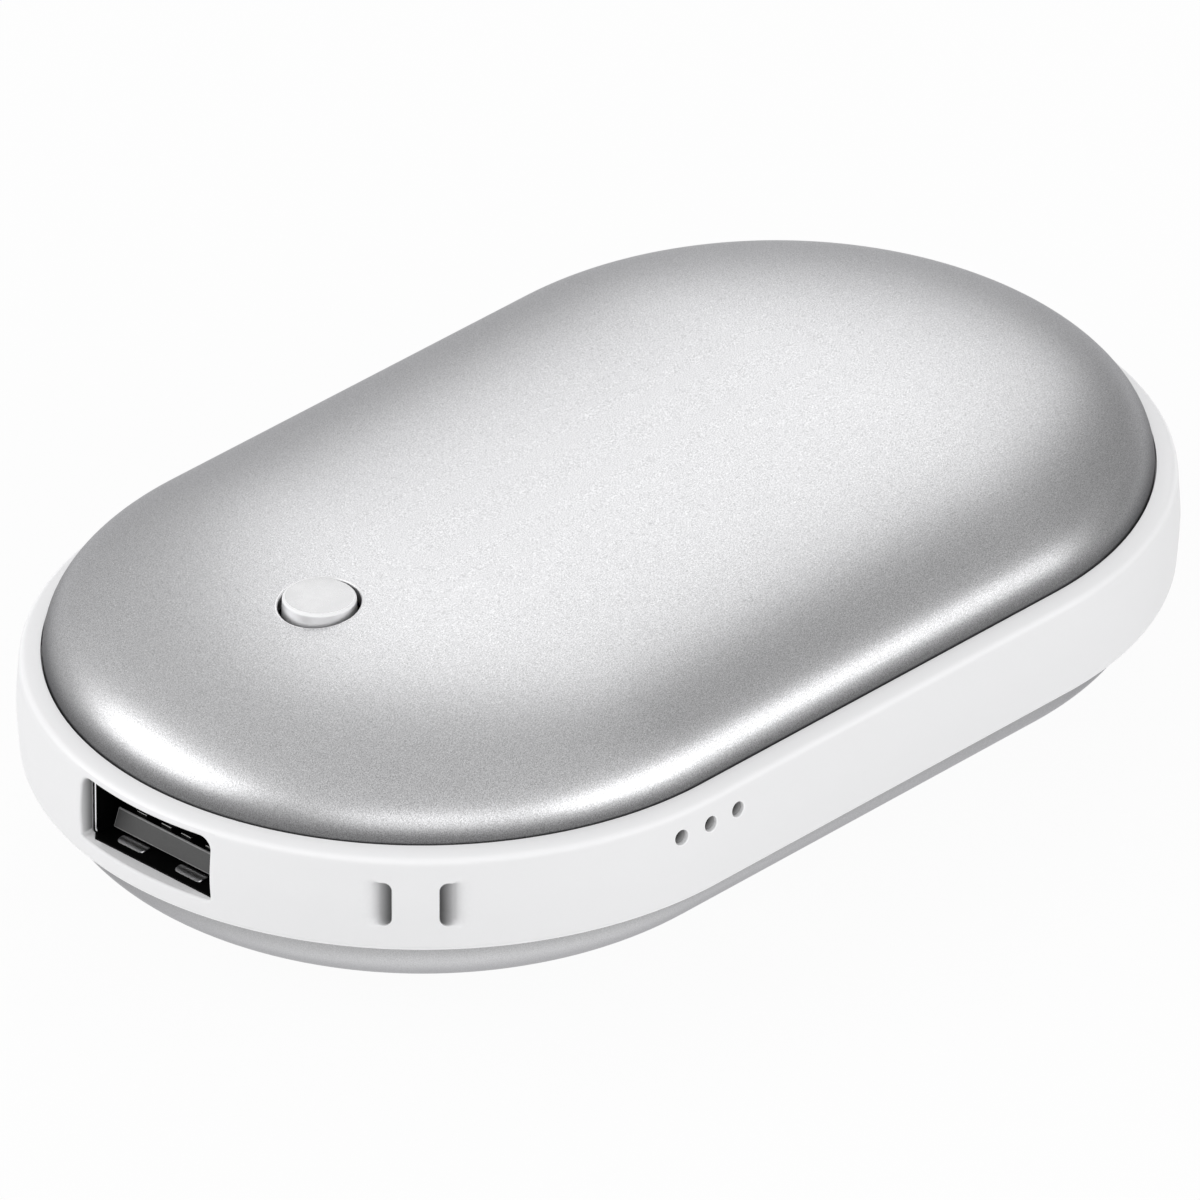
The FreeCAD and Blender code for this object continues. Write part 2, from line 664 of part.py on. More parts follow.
def tray_screws():
    return screws(ear_places(), SPLIT_HEIGHT + EAR_THICKNESS, -SPLIT_HEIGHT - TRAY_SCREW_BITE)


def usb_shell():
    """The folded metal case of the output socket, with two leaf springs on its floor."""
    mouth = NEAR_END + USB_MOUTH_INSET
    outside = end_plate(USB_OUTSIDE_WIDTH, USB_OUTSIDE_HEIGHT, USB_CORNER, mouth, USB_HEIGHT)
    inside = end_plate(USB_INSIDE_WIDTH, USB_INSIDE_HEIGHT, USB_CORNER - USB_SHEET, mouth - OVERRUN, USB_HEIGHT)
    case = outside.extrude(vec(USB_DEPTH, 0, 0))
    case = case.cut(inside.extrude(vec(USB_DEPTH + OVERRUN - USB_SHEET, 0, 0)))
    floor = USB_HEIGHT - USB_INSIDE_HEIGHT / 2
    start = mouth + USB_SPRING_INSET
    finish = start + USB_SPRING_LENGTH
    peak = start + USB_SPRING_LENGTH / 2
    springs = []
    for y in USB_SPRING_PLACES:
        low = y - USB_SPRING_WIDTH / 2
        upper = Part.Arc(vec(start, low, floor), vec(peak, low, floor + USB_SPRING_RISE),
                         vec(finish, low, floor)).toShape()
        under = Part.makePolygon([vec(finish, low, floor), vec(finish, low, floor - USB_SHEET / 2),
                                  vec(start, low, floor - USB_SHEET / 2), vec(start, low, floor)])
        springs.append(Part.Face(Part.Wire([upper] + under.Edges)).extrude(vec(0, USB_SPRING_WIDTH, 0)))
    return one_solid(case.fuse(springs))


def usb_tongue_levels():
    low = USB_HEIGHT - USB_INSIDE_HEIGHT / 2 + USB_TONGUE_LIFT
    return low, low + USB_TONGUE_THICKNESS


def usb_tongue():
    """The insulator: a tongue low in the socket and a block that fills its back."""
    mouth = NEAR_END + USB_MOUTH_INSET
    back = mouth + USB_DEPTH - USB_SHEET
    half = USB_TONGUE_WIDTH / 2
    low, high = usb_tongue_levels()
    block_front = back - USB_BACK_BLOCK
    tongue = box(mouth + USB_TONGUE_INSET, block_front, -half, half, low, high)
    ceiling = USB_HEIGHT + USB_INSIDE_HEIGHT / 2
    floor = USB_HEIGHT - USB_INSIDE_HEIGHT / 2
    block = box(block_front, back, -half, half, floor, ceiling)
    return one_solid(tongue.fuse(block))


def usb_contacts():
    mouth = NEAR_END + USB_MOUTH_INSET
    back = mouth + USB_DEPTH - USB_SHEET - USB_BACK_BLOCK
    top = usb_tongue_levels()[1]
    start = mouth + USB_TONGUE_INSET + USB_CONTACT_INSET
    half = USB_CONTACT_WIDTH / 2
    return [box(start, back, y - half, y + half, top, top + USB_CONTACT_THICKNESS)
            for y in USB_CONTACT_PLACES]


def charge_level():
    return BOARD_BOTTOM - CHARGE_HEIGHT / 2


def charge_outline(grow, y):
    """The keyed outline of the charging socket, narrower at its lower side."""
    half = CHARGE_WIDTH / 2 + grow
    tall = CHARGE_HEIGHT / 2 + grow
    corner = CHARGE_CORNER
    corners = [
        (-half + CHARGE_SLOPE, -tall, corner),
        (half - CHARGE_SLOPE, -tall, corner),
        (half, -tall + CHARGE_SLOPE, corner),
        (half, tall, corner),
        (-half, tall, corner),
        (-half, -tall + CHARGE_SLOPE, corner),
    ]
    level = charge_level()
    return Part.Face(rounded_wire(corners, lambda u, v: vec(LIGHT_X + u, y, level + v)))


def charge_shell():
    mouth = END_RADIUS - CHARGE_MOUTH_INSET
    case = charge_outline(0, mouth).extrude(vec(0, -CHARGE_DEPTH, 0))
    hollow = charge_outline(-CHARGE_SHEET, mouth).extrude(vec(0, -CHARGE_DEPTH + CHARGE_SHEET, 0))
    return one_solid(case.cut(hollow))


def charge_tongue():
    """The insulator of the charging socket: a thin tongue on a back block."""
    x = LIGHT_X
    mouth = END_RADIUS - CHARGE_MOUTH_INSET
    back = mouth - CHARGE_DEPTH + CHARGE_SHEET
    top = BOARD_BOTTOM - CHARGE_SHEET
    half = CHARGE_TONGUE_WIDTH / 2
    tall = CHARGE_HEIGHT - 2 * CHARGE_SHEET
    block = box(x - half, x + half, back, back + CHARGE_TONGUE_INSET, top - tall, top)
    level = charge_level() + CHARGE_TONGUE_THICKNESS / 2
    tongue = box(x - half, x + half, back, mouth - CHARGE_TONGUE_INSET,
                 level - CHARGE_TONGUE_THICKNESS / 2, level + CHARGE_TONGUE_THICKNESS / 2)
    return one_solid(block.fuse(tongue))


def light_bar_outer():
    """How far out the bar may reach before it meets the curve of the frame's wall."""
    bend = max(0.0, -HALF_STRAIGHT - light_places()[0] + LIGHT_PITCH / 2)
    return math.sqrt(INNER_RADIUS ** 2 - bend ** 2) - HOOK_CLEARANCE


def light_pipe():
    """A clear bar below the board with a prong into each indicator hole."""
    places = light_places()
    outer = light_bar_outer()
    solid = box(places[0] - LIGHT_PITCH / 2, LIGHT_END, -outer, -outer + LIGHT_BAR_WIDTH,
                LIGHT_HEIGHT - LIGHT_PRONG_RADIUS, LIGHT_HEIGHT + LIGHT_PRONG_RADIUS)
    tip = END_RADIUS - LIGHT_PRONG_RECESS
    prongs = [rod(vec(x, -outer + LIGHT_BAR_WIDTH / 2, LIGHT_HEIGHT), vec(x, -tip, LIGHT_HEIGHT),
                  LIGHT_PRONG_RADIUS) for x in places]
    return one_solid(solid.fuse(prongs))


def status_leds():
    y = -light_bar_outer() + LIGHT_BAR_WIDTH / 2
    return [box(x - LED_LENGTH / 2, x + LED_LENGTH / 2, y - LED_WIDTH / 2, y + LED_WIDTH / 2,
                BOARD_BOTTOM - LED_HEIGHT, BOARD_BOTTOM) for x in light_places()]


def switch_cover_level():
    return BOARD_TOP + SWITCH_HEIGHT


def switch_block(low, high):
    half = SWITCH_LENGTH / 2
    wide = SWITCH_WIDTH / 2
    return box(BUTTON_X - half, BUTTON_X + half, -wide, wide, low, high)


def switch_housing():
    top = switch_cover_level()
    well = post(BUTTON_X, 0, BOARD_TOP + SWITCH_FLOOR, top, SWITCH_WELL_RADIUS)
    return one_solid(switch_block(BOARD_TOP, top).cut(well))


def switch_cover():
    low = switch_cover_level()
    hole = post(BUTTON_X, 0, low - OVERRUN, low + OVERRUN, PLUNGER_RADIUS + PLUNGER_GAP)
    return one_solid(switch_block(low, low + SWITCH_COVER).cut(hole))


def switch_terminals():
    wide = SWITCH_WIDTH / 2
    reach = wide + TERMINAL_REACH
    half = TERMINAL_WIDTH / 2
    solids = []
    for offset in (-1, 1):
        x = BUTTON_X + offset * TERMINAL_SPACING / 2
        for side in (1, -1):
            y0, y1 = sorted((side * wide, side * reach))
            solids.append(box(x - half, x + half, y0, y1, BOARD_TOP, BOARD_TOP + TERMINAL_THICKNESS))
    return solids


def snap_dome():
    """The sprung disc that gives the key its click and pushes it back."""
    base = BOARD_TOP + SWITCH_FLOOR

    def arc(radius, rise):
        ball = (radius ** 2 + rise ** 2) / (2 * rise)
        half = math.asin(radius / ball) / 2
        middle = radial(ball * math.sin(half), base + rise - ball * (1 - math.cos(half)))
        return Part.Arc(radial(0, base + rise), middle, radial(radius, base)).toShape()

    edges = [
        arc(SNAP_RADIUS, SNAP_RISE),
        arc(SNAP_RADIUS - SNAP_SHEET, SNAP_RISE - SNAP_SHEET),
        Part.makeLine(radial(0, base + SNAP_RISE - SNAP_SHEET), radial(0, base + SNAP_RISE)),
        Part.makeLine(radial(SNAP_RADIUS - SNAP_SHEET, base), radial(SNAP_RADIUS, base)),
    ]
    section = Part.Face(Part.Wire(Part.__sortEdges__(edges)))
    dome = section.revolve(vec(0, 0, 0), vec(0, 0, 1), 360)
    dome.translate(vec(BUTTON_X, 0, 0))
    return dome


def switch_plunger():
    low = BOARD_TOP + SWITCH_FLOOR + SNAP_RISE + PIN_GAP
    flange = post(BUTTON_X, 0, low, low + PLUNGER_FLANGE_HEIGHT, PLUNGER_FLANGE_RADIUS)
    stem = post(BUTTON_X, 0, low, BOARD_TOP + PLUNGER_TOP, PLUNGER_RADIUS)
    return one_solid(flange.fuse(stem))


def button_rho():
    return -HALF_STRAIGHT - BUTTON_X


def button_levels():
    """Underside and top of the button's flange, and the top of its cap."""
    lowest = dome_height(button_rho() + FLANGE_RADIUS, CAVITY_RADIUS, CAVITY_RISE)
    flange_top = lowest - FLANGE_CLEARANCE
    cap_top = dome_height(button_rho(), SHELL_RADIUS, SHELL_RISE) + BUTTON_PROUD
    return flange_top - FLANGE_THICKNESS, flange_top, cap_top


def button_cap():
    """The key: a crowned cap in the shell's hole, a flange that keeps it in, and a stem."""
    flange_low, flange_top, cap_top = button_levels()
    radius = BUTTON_HOLE_RADIUS - BUTTON_GAP
    stem_low = BOARD_TOP + PLUNGER_TOP
    rim = cap_top - BUTTON_CROWN
    crown_radius = ((radius - BUTTON_EDGE) ** 2 + BUTTON_CROWN ** 2) / (2 * BUTTON_CROWN)
    half = (radius - BUTTON_EDGE) / 2
    crown_middle = radial(half, cap_top - crown_radius + math.sqrt(crown_radius ** 2 - half ** 2))
    edge_drop = BUTTON_EDGE * (1 - math.sqrt(0.5))
    crown = Part.Arc(radial(0, cap_top), crown_middle, radial(radius - BUTTON_EDGE, rim)).toShape()
    edge = Part.Arc(radial(radius - BUTTON_EDGE, rim), radial(radius - edge_drop, rim - edge_drop),
                    radial(radius, rim - BUTTON_EDGE)).toShape()
    outline = Part.makePolygon([
        radial(radius, rim - BUTTON_EDGE),
        radial(radius, flange_top),
        radial(FLANGE_RADIUS, flange_top),
        radial(FLANGE_RADIUS, flange_low),
        radial(STEM_RADIUS, flange_low),
        radial(STEM_RADIUS, stem_low),
        radial(0, stem_low),
        radial(0, cap_top),
    ])
    section = Part.Face(Part.Wire(Part.__sortEdges__([crown, edge] + outline.Edges)))
    cap = section.revolve(vec(0, 0, 0), vec(0, 0, 1), 360)
    cap.translate(vec(BUTTON_X, 0, 0))
    return cap


def guide_leg_inner():
    return SWITCH_WIDTH / 2 + TERMINAL_REACH + CLEARANCE_GAP


def guide_pin_places():
    y = guide_leg_inner() + GUIDE_LEG / 2
    return [(BUTTON_X, side * y) for side in (1, -1)]


def button_guide():
    """An arch on the board that steers the button's stem, staked through the board."""
    top = button_levels()[0] - BUTTON_TRAVEL - CLEARANCE_GAP * 2
    inner = guide_leg_inner()
    outer = inner + GUIDE_LEG
    half = GUIDE_LENGTH / 2
    arch = box(BUTTON_X - half, BUTTON_X + half, -outer, outer, BOARD_TOP, top)
    under = box(BUTTON_X - half - OVERRUN, BUTTON_X + half + OVERRUN, -inner, inner,
                BOARD_TOP - OVERRUN, top - GUIDE_TOP_THICKNESS)
    bore = post(BUTTON_X, 0, BOARD_TOP, top + OVERRUN, STEM_RADIUS + STEM_GAP)
    pins = [post(x, y, BOARD_BOTTOM, BOARD_TOP, GUIDE_PIN_RADIUS) for x, y in guide_pin_places()]
    return one_solid(arch.cut([under, bore]).fuse(pins))


def cell(side):
    """One cell lying along X with its nub towards the board."""
    can_start = CELL_START + CELL_NUB_HEIGHT
    corners = [
        (0, 0, 0),
        (CELL_RADIUS, 0, CELL_EDGE_RADIUS),
        (CELL_RADIUS, CELL_END - can_start, CELL_EDGE_RADIUS),
        (0, CELL_END - can_start, 0),
    ]
    section = Part.Face(rounded_wire(corners, lambda u, v: vec(can_start + v, u, 0)))
    can = section.revolve(vec(0, 0, 0), vec(1, 0, 0), 360)
    nub = rod(vec(CELL_START, 0, 0), vec(can_start + CELL_EDGE_RADIUS, 0, 0), CELL_NUB_RADIUS)
    solid = one_solid(can.fuse(nub))
    solid.translate(vec(0, side * CELL_OFFSET, 0))
    return solid


def strip(x):
    return box(x, x + STRIP_THICKNESS, -STRIP_REACH, STRIP_REACH, -STRIP_WIDTH / 2, STRIP_WIDTH / 2)


def troughs(x0, x1, radius):
    rods = [rod(vec(x0, side * CELL_OFFSET, 0), vec(x1, side * CELL_OFFSET, 0), radius) for side in (1, -1)]
    return rods[0].fuse(rods[1])


def ears(low, high):
    """Four tabs that reach from a trough to the frame's bosses."""
    inner = CELL_OFFSET + TRAY_BORE
    outer = INNER_RADIUS - CLEARANCE_GAP * 4
    solids = []
    for x, y in ear_places():
        y0, y1 = sorted((math.copysign(inner, y), math.copysign(outer, y)))
        tab = box(x - EAR_HALF_WIDTH, x + EAR_HALF_WIDTH, y0, y1, low, high)
        solids.append(tab.cut(post(x, y, low - OVERRUN, high + OVERRUN, SCREW_RADIUS + CLEARANCE_GAP)))
    return solids


def battery_tray():
    """A double trough under the cells, with a stop at the board end and four ears."""
    below = box(-LENGTH, LENGTH, -END_RADIUS, END_RADIUS, -CROWN, SPLIT_HEIGHT)
    outside = troughs(TRAY_NEAR, TRAY_END, TRAY_RADIUS).common(below)
    hollow = troughs(TRAY_NEAR + TRAY_STOP, TRAY_END + OVERRUN, TRAY_BORE)
    window = box(TRAY_NEAR - OVERRUN, CELL_START + TRAY_GAP, -PACK_HALF_WIDTH, PACK_HALF_WIDTH,
                 -STRIP_WIDTH / 2 - TRAY_STOP, SPLIT_HEIGHT + OVERRUN)
    notch = box(TRAY_NEAR - OVERRUN, TRAY_NEAR + TRAY_STOP, -TRAY_NOTCH / 2, TRAY_NOTCH / 2, -CROWN, SPLIT_HEIGHT)
    tray = outside.fuse(ears(-SPLIT_HEIGHT, SPLIT_HEIGHT))
    return one_solid(tray.cut([hollow, window, notch]))


def battery_clamp():
    """A double arch over the cells, screwed down with the tray."""
    start = EAR_NEAR - CLAMP_LEAD
    above = box(-LENGTH, LENGTH, -END_RADIUS, END_RADIUS, SPLIT_HEIGHT, CROWN)
    outside = troughs(start, TRAY_END, TRAY_RADIUS).common(above)
    hollow = troughs(start - OVERRUN, TRAY_END + OVERRUN, TRAY_BORE)
    clamp = outside.fuse(ears(SPLIT_HEIGHT, SPLIT_HEIGHT + EAR_THICKNESS))
    return one_solid(clamp.cut(hollow))


def crown_curve(radius, rise, reach, steps=6):
    """The part of a dome's outline within a given distance of the crown."""
    marks = [reach * i / steps for i in range(steps + 1)]
    curve = Part.BSplineCurve()
    curve.interpolate(Points=[radial(rho, dome_height(rho, radius, rise)) for rho in marks])
    return curve


def heater_film():
    """A thin heater stuck inside a shell, cut short of the button."""
    outer = crown_curve(CAVITY_RADIUS - GLUE_GAP, CAVITY_RISE - GLUE_GAP, FILM_RADIUS)
    inner = crown_curve(CAVITY_RADIUS - FILM_INSET, CAVITY_RISE - FILM_INSET, FILM_RADIUS)
    edges = [
        outer.toShape(),
        inner.toShape(),
        Part.makeLine(outer.StartPoint, inner.StartPoint),
        Part.makeLine(outer.EndPoint, inner.EndPoint),
    ]
    skin = swept_round(Part.Face(Part.Wire(Part.__sortEdges__(edges))))
    beyond = box(NEAR_END, FILM_START, -END_RADIUS, END_RADIUS, SEAM_HEIGHT, CROWN)
    return one_solid(skin.cut(beyond))


def foam_pad():
    """Soft packing between the clamped cells and a heater."""
    film_edge = dome_height(PAD_RADIUS, CAVITY_RADIUS - FILM_INSET, CAVITY_RISE - FILM_INSET)
    slab = pill_slab(PAD_RADIUS, TRAY_RADIUS + PAD_GAP, film_edge - PAD_TO_FILM)
    return one_solid(slab.common(box(PAD_START, LENGTH, -END_RADIUS, END_RADIUS, 0, CROWN)))


def sensor_level():
    return CROWN - SHELL_WALL - FILM_INSET - SENSOR_RADIUS


def sensor_bead():
    """A glass bead sensor lying against a heater."""
    level = sensor_level()
    return rod(vec(SENSOR_START, 0, level), vec(SENSOR_START + SENSOR_LENGTH, 0, level), SENSOR_RADIUS)


def lead(points, diameter):
    """A wire along straight runs joined by tangent arcs."""
    edges = []
    last = points[0]
    for i in range(1, len(points) - 1):
        here = points[i]
        back = points[i - 1] - here
        ahead = points[i + 1] - here
        reach = BEND_SHARE * min(back.Length, ahead.Length)
        back = back.normalize()
        ahead = ahead.normalize()
        half = back.getAngle(ahead) / 2
        radius = reach * math.tan(half)
        first = here + back * reach
        final = here + ahead * reach
        middle = here + (back + ahead).normalize() * (radius / math.sin(half) - radius)
        edges.append(Part.LineSegment(last, first).toShape())
        edges.append(Part.Arc(first, middle, final).toShape())
        last = final
    edges.append(Part.LineSegment(last, points[-1]).toShape())
    path = Part.Wire(edges)
    ring = Part.Wire(Part.makeCircle(diameter / 2, points[0], points[1] - points[0]))
    return path.makePipeShell([ring], True, False)


def solid_lead(points, diameter):
    return lead([vec(*point) for point in points], diameter)


def battery_leads():
    """One wire from the strip at the board end, one from the far strip under the tray."""
    strip_face = CELL_START - STRIP_THICKNESS
    near_x = strip_face - BATTERY_LEAD / 2
    pad_x = BUTTON_X - 0.6
    plus = solid_lead([
        (near_x, 5.0, -3.0),
        (near_x, 5.0, 0.2),
        (pad_x, 5.0, 1.4),
        (pad_x, 5.0, BOARD_BOTTOM),
    ], BATTERY_LEAD)
    far_x = CELL_END + STRIP_THICKNESS + BATTERY_LEAD / 2
    minus = solid_lead([
        (far_x, 0, -1.0),
        (far_x, 0, -LEAD_VALLEY),
        (pad_x, 0, -LEAD_VALLEY),
        (pad_x, 0, BOARD_BOTTOM),
    ], BATTERY_LEAD)
    return [plus, minus]


def heater_lead_level():
    film = dome_height(HEATER_LEAD_SPREAD, CAVITY_RADIUS - FILM_INSET, CAVITY_RISE - FILM_INSET)
    return film - HEATER_LEAD / 2 - PIN_GAP


def top_heater_leads():
    """Two wires from the upper heater, down past the button's guide to the board."""
    level = heater_lead_level()
    return [solid_lead([
        (SENSOR_START, side * HEATER_LEAD_SPREAD, level),
        (BUTTON_X + 7.0, side * 7.6, level - 0.6),
        (BUTTON_X + 0.5, side * 8.6, level - 2.2),
        (BUTTON_X - 4.4, side * 9.0, level - 5.0),
        (BUTTON_X - 4.4, side * 9.0, BOARD_TOP),
    ], HEATER_LEAD) for side in (1, -1)]


def bottom_heater_leads():
    """Two wires from the lower heater, up to the underside of the board."""
    level = -heater_lead_level()
    return [solid_lead([
        (SENSOR_START, side * HEATER_LEAD_SPREAD, level),
        (BUTTON_X + 7.0, side * 7.5, level + 0.25),
        (BUTTON_X - 0.6, side * 8.0, level + 0.5),
        (BUTTON_X - 2.4, side * 8.4, level + 5.8),
        (BUTTON_X - 2.4, side * 8.4, BOARD_BOTTOM),
    ], HEATER_LEAD) for side in (1, -1)]


def top_sensor_leads():
    """Two thin wires from the upper sensor, round the button to the board."""
    level = sensor_level()
    return [solid_lead([
        (SENSOR_START, side * SENSOR_LEAD_SPREAD, level),
        (SENSOR_START - 1.5, side * SENSOR_LEAD_SPREAD, level),
        (SENSOR_START - 5.5, side * 2.5, level - 0.2),
        (SENSOR_START - 10.0, side * 5.6, level - 1.0),
        (BUTTON_X + 0.6, side * 6.6, level - 2.4),
        (BUTTON_X - 2.6, side * 6.8, level - 4.4),
        (BUTTON_X - 2.6, side * 6.8, BOARD_TOP),
    ], SENSOR_LEAD) for side in (1, -1)]


def bottom_sensor_leads():
    """Two thin wires from the lower sensor, up to the underside of the board."""
    level = -sensor_level()
    return [solid_lead([
        (SENSOR_START, side * SENSOR_LEAD_SPREAD, level),
        (SENSOR_START - 1.5, side * SENSOR_LEAD_SPREAD, level),
        (SENSOR_START - 5.5, side * 2.5, level + 0.3),
        (BUTTON_X - 0.4, side * 4.6, level + 0.7),
        (BUTTON_X - 2.0, side * 5.0, level + 6.0),
        (BUTTON_X - 2.0, side * 5.0, BOARD_BOTTOM),
    ], SENSOR_LEAD) for side in (1, -1)]


def board_block(place, length, width, low, high):
    x = NEAR_END + place[0]
    y = place[1]
    return box(x - length / 2, x + length / 2, y - width / 2, y + width / 2, low, high)


def power_coil():
    """A shielded choke: a ferrite block with its corners taken off."""
    block = board_block(COIL_PLACE, COIL_SIZE, COIL_SIZE, BOARD_BOTTOM - COIL_HEIGHT, BOARD_BOTTOM)
    upright = [edge for edge in block.Edges if abs(edge.tangentAt(edge.FirstParameter).z) > 0.9]
    return block.makeChamfer(COIL_CHAMFER, upright)


def control_chips():
    return [board_block(place, CHIP_LENGTH, CHIP_WIDTH, BOARD_BOTTOM - CHIP_HEIGHT, BOARD_BOTTOM)
            for place in CHIP_PLACES]


def chip_capacitors():
    return [board_block(place, CAPACITOR_LENGTH, CAPACITOR_WIDTH, BOARD_TOP, BOARD_TOP + CAPACITOR_HEIGHT)
            for place in CAPACITOR_PLACES]


def export(name, shape):
    """Lift a piece onto its standing level and write it."""
    solids = shape if isinstance(shape, list) else [shape]
    lifted = []
    for solid in solids:
        copy = solid.copy()
        copy.translate(vec(0, 0, LIFT))
        lifted.append(copy)
    whole = lifted[0] if len(lifted) == 1 else Part.makeCompound(lifted)
    state = "ok" if whole.isValid() else "NOT VALID"
    print(name, len(whole.Solids), "solids", round(whole.Volume, 3), "mm3", state)
    whole.exportStep(os.path.join("parts", name + ".step"))


def main():
    os.makedirs("parts", exist_ok=True)
    ring = clip_ring()
    film = heater_film()
    pad = foam_pad()
    bead = sensor_bead()
    export("middle_frame", middle_frame())
    export("top_shell", top_shell())
    export("bottom_shell", bottom_shell())
    export("top_clip_ring", ring)
    export("bottom_clip_ring", flipped(ring))
    export("button_cap", button_cap())
    export("button_guide", button_guide())
    export("switch_housing", switch_housing())
    export("switch_cover", switch_cover())
    export("switch_terminals", switch_terminals())
    export("switch_snap_dome", snap_dome())
    export("switch_plunger", switch_plunger())
    export("main_board", main_board())
    export("board_screws", board_screws())
    export("usb_shell", usb_shell())
    export("usb_tongue", usb_tongue())
    export("usb_contacts", usb_contacts())
    export("charge_shell", charge_shell())
    export("charge_tongue", charge_tongue())
    export("light_pipe", light_pipe())
    export("status_leds", status_leds())
    export("power_coil", power_coil())
    export("control_chips", control_chips())
    export("chip_capacitors", chip_capacitors())
    export("cell_near", cell(-1))
    export("cell_far", cell(1))
    export("plus_strip", strip(CELL_START - STRIP_THICKNESS))
    export("minus_strip", strip(CELL_END))
    export("battery_tray", battery_tray())
    export("battery_clamp", battery_clamp())
    export("tray_screws", tray_screws())
    export("top_heater", film)
    export("bottom_heater", flipped(film))
    export("top_pad", pad)
    export("bottom_pad", flipped(pad))
    export("top_sensor", bead)
    export("bottom_sensor", flipped(bead))
    export("battery_leads", battery_leads())
    export("top_heater_leads", top_heater_leads())
    export("bottom_heater_leads", bottom_heater_leads())
    export("top_sensor_leads", top_sensor_leads())
    export("bottom_sensor_leads", bottom_sensor_leads())


if __name__ == "__main__":
    main()
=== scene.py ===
"""Dresses a pill-shaped rechargeable hand warmer: two satin metal shells on a white ring, with its
push button, sockets, lights and lanyard slots, on a pale studio floor."""

import json
import math

import bmesh
import bpy
import numpy as np
from bpy.props import FloatProperty, FloatVectorProperty, PointerProperty
from mathutils import Matrix, Vector


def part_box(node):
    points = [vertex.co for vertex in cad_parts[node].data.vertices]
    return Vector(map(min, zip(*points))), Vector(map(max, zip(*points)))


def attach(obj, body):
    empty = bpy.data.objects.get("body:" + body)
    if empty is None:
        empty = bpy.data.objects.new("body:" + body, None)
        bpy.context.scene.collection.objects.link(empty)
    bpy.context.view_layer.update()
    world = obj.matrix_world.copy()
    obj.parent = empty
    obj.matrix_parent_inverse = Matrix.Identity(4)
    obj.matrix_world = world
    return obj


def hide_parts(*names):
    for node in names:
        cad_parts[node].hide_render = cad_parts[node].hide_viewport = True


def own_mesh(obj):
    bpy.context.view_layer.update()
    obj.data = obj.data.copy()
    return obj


bl_info = {
    "name": "Hand Warmer Dressing",
    "version": (1, 0, 0),
    "blender": (4, 5, 0),
    "location": "View3D > Sidebar > Hand Warmer",
    "description": "Builds the visible pieces of a rechargeable hand warmer around its solids",
    "category": "Object",
}

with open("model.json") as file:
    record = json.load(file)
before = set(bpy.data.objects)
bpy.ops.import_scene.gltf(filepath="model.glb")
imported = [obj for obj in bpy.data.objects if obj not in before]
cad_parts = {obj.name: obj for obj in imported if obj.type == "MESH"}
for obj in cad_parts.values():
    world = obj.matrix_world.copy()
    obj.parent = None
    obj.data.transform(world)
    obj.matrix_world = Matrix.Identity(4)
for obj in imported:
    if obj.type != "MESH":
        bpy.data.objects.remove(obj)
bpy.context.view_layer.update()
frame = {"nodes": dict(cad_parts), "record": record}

MM = 0.001
UP = (0, 0, 1)

# Places read from the solids
RING_LOW, RING_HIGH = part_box("middle_frame")
TOP_LOW, TOP_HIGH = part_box("top_shell")
BASE_LOW, BASE_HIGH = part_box("bottom_shell")
CAP_LOW, CAP_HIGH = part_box("button_cap")
USB_LOW, USB_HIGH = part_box("usb_shell")
TONGUE_LOW, TONGUE_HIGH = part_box("usb_tongue")
CONTACT_LOW, CONTACT_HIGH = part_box("usb_contacts")
INLET_LOW, INLET_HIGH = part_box("charge_shell")
INLET_TONGUE_LOW, INLET_TONGUE_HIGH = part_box("charge_tongue")
PIPE_LOW, PIPE_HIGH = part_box("light_pipe")
DISC_LOW, DISC_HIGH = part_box("switch_snap_dome")

# The pill's plan: two half circles joined by straight sides
END_RADIUS = min(RING_HIGH.y, -RING_LOW.y)
HALF_STRAIGHT = RING_HIGH.x - END_RADIUS
QUARTER = END_RADIUS * math.pi / 2
OUTLINE = 4 * QUARTER + 4 * HALF_STRAIGHT
NEAR_CENTRE = Vector((-HALF_STRAIGHT, 0))

# Section of the white ring, with heights from its middle
MIDDLE = (RING_LOW.z + RING_HIGH.z) / 2
SEAM = RING_HIGH.z - MIDDLE
INNER_RADIUS = END_RADIUS - 2.8 * MM
LEDGE = SEAM - 0.55 * MM
CROWN_RADIUS = 14 * MM
TILT = math.radians(4)
SHOULDER_HEIGHT = SEAM - 0.45 * MM
SHOULDER_RADIUS = 0.75 * MM
SEAM_RADIUS = END_RADIUS - 1.85 * MM

# The ring's edge at the seam: points outwards and down, as shares of its rounding
LIP_POINTS = ((0.3, 0.12), (0.0, 0.6))

# Metal shells
SHELL_RADIUS = TOP_HIGH.y
SHELL_WALL = 1.0 * MM
SHELL_RISE = TOP_HIGH.z - MIDDLE - SEAM
FLAT_RISE = MIDDLE - SEAM - BASE_LOW.z

# Painted shade: a dark band on the metal near the seam, wider towards two opposite corners
SEAM_SHADE_TURN = math.radians(-46)
SEAM_SHADE_NEAR = 8 * MM
SEAM_SHADE_FAR = 41 * MM
SEAM_SHADE_STEEP = 1.35
SEAM_SHADE_SQUEEZE = 0.7

# Push button, standing in its hole in the top shell
CAP_X = (CAP_LOW.x + CAP_HIGH.x) / 2
HOLE_OUT = NEAR_CENTRE.x - CAP_X
HOLE_RADIUS = 3.1 * MM
HOLE_TURN_ROOM = 1.3
HOLE_ROOM = 1.2
CAP_RADIUS = 2.82 * MM
CAP_TOP_RADIUS = 2.74 * MM
FLANGE_RADIUS = CAP_HIGH.y
FLANGE_CLEARANCE = 0.25 * MM
FLANGE_THICKNESS = 0.7 * MM
STEM_RADIUS = 1.5 * MM

# Sprung disc under the button
DISC_SHEET = 0.08 * MM

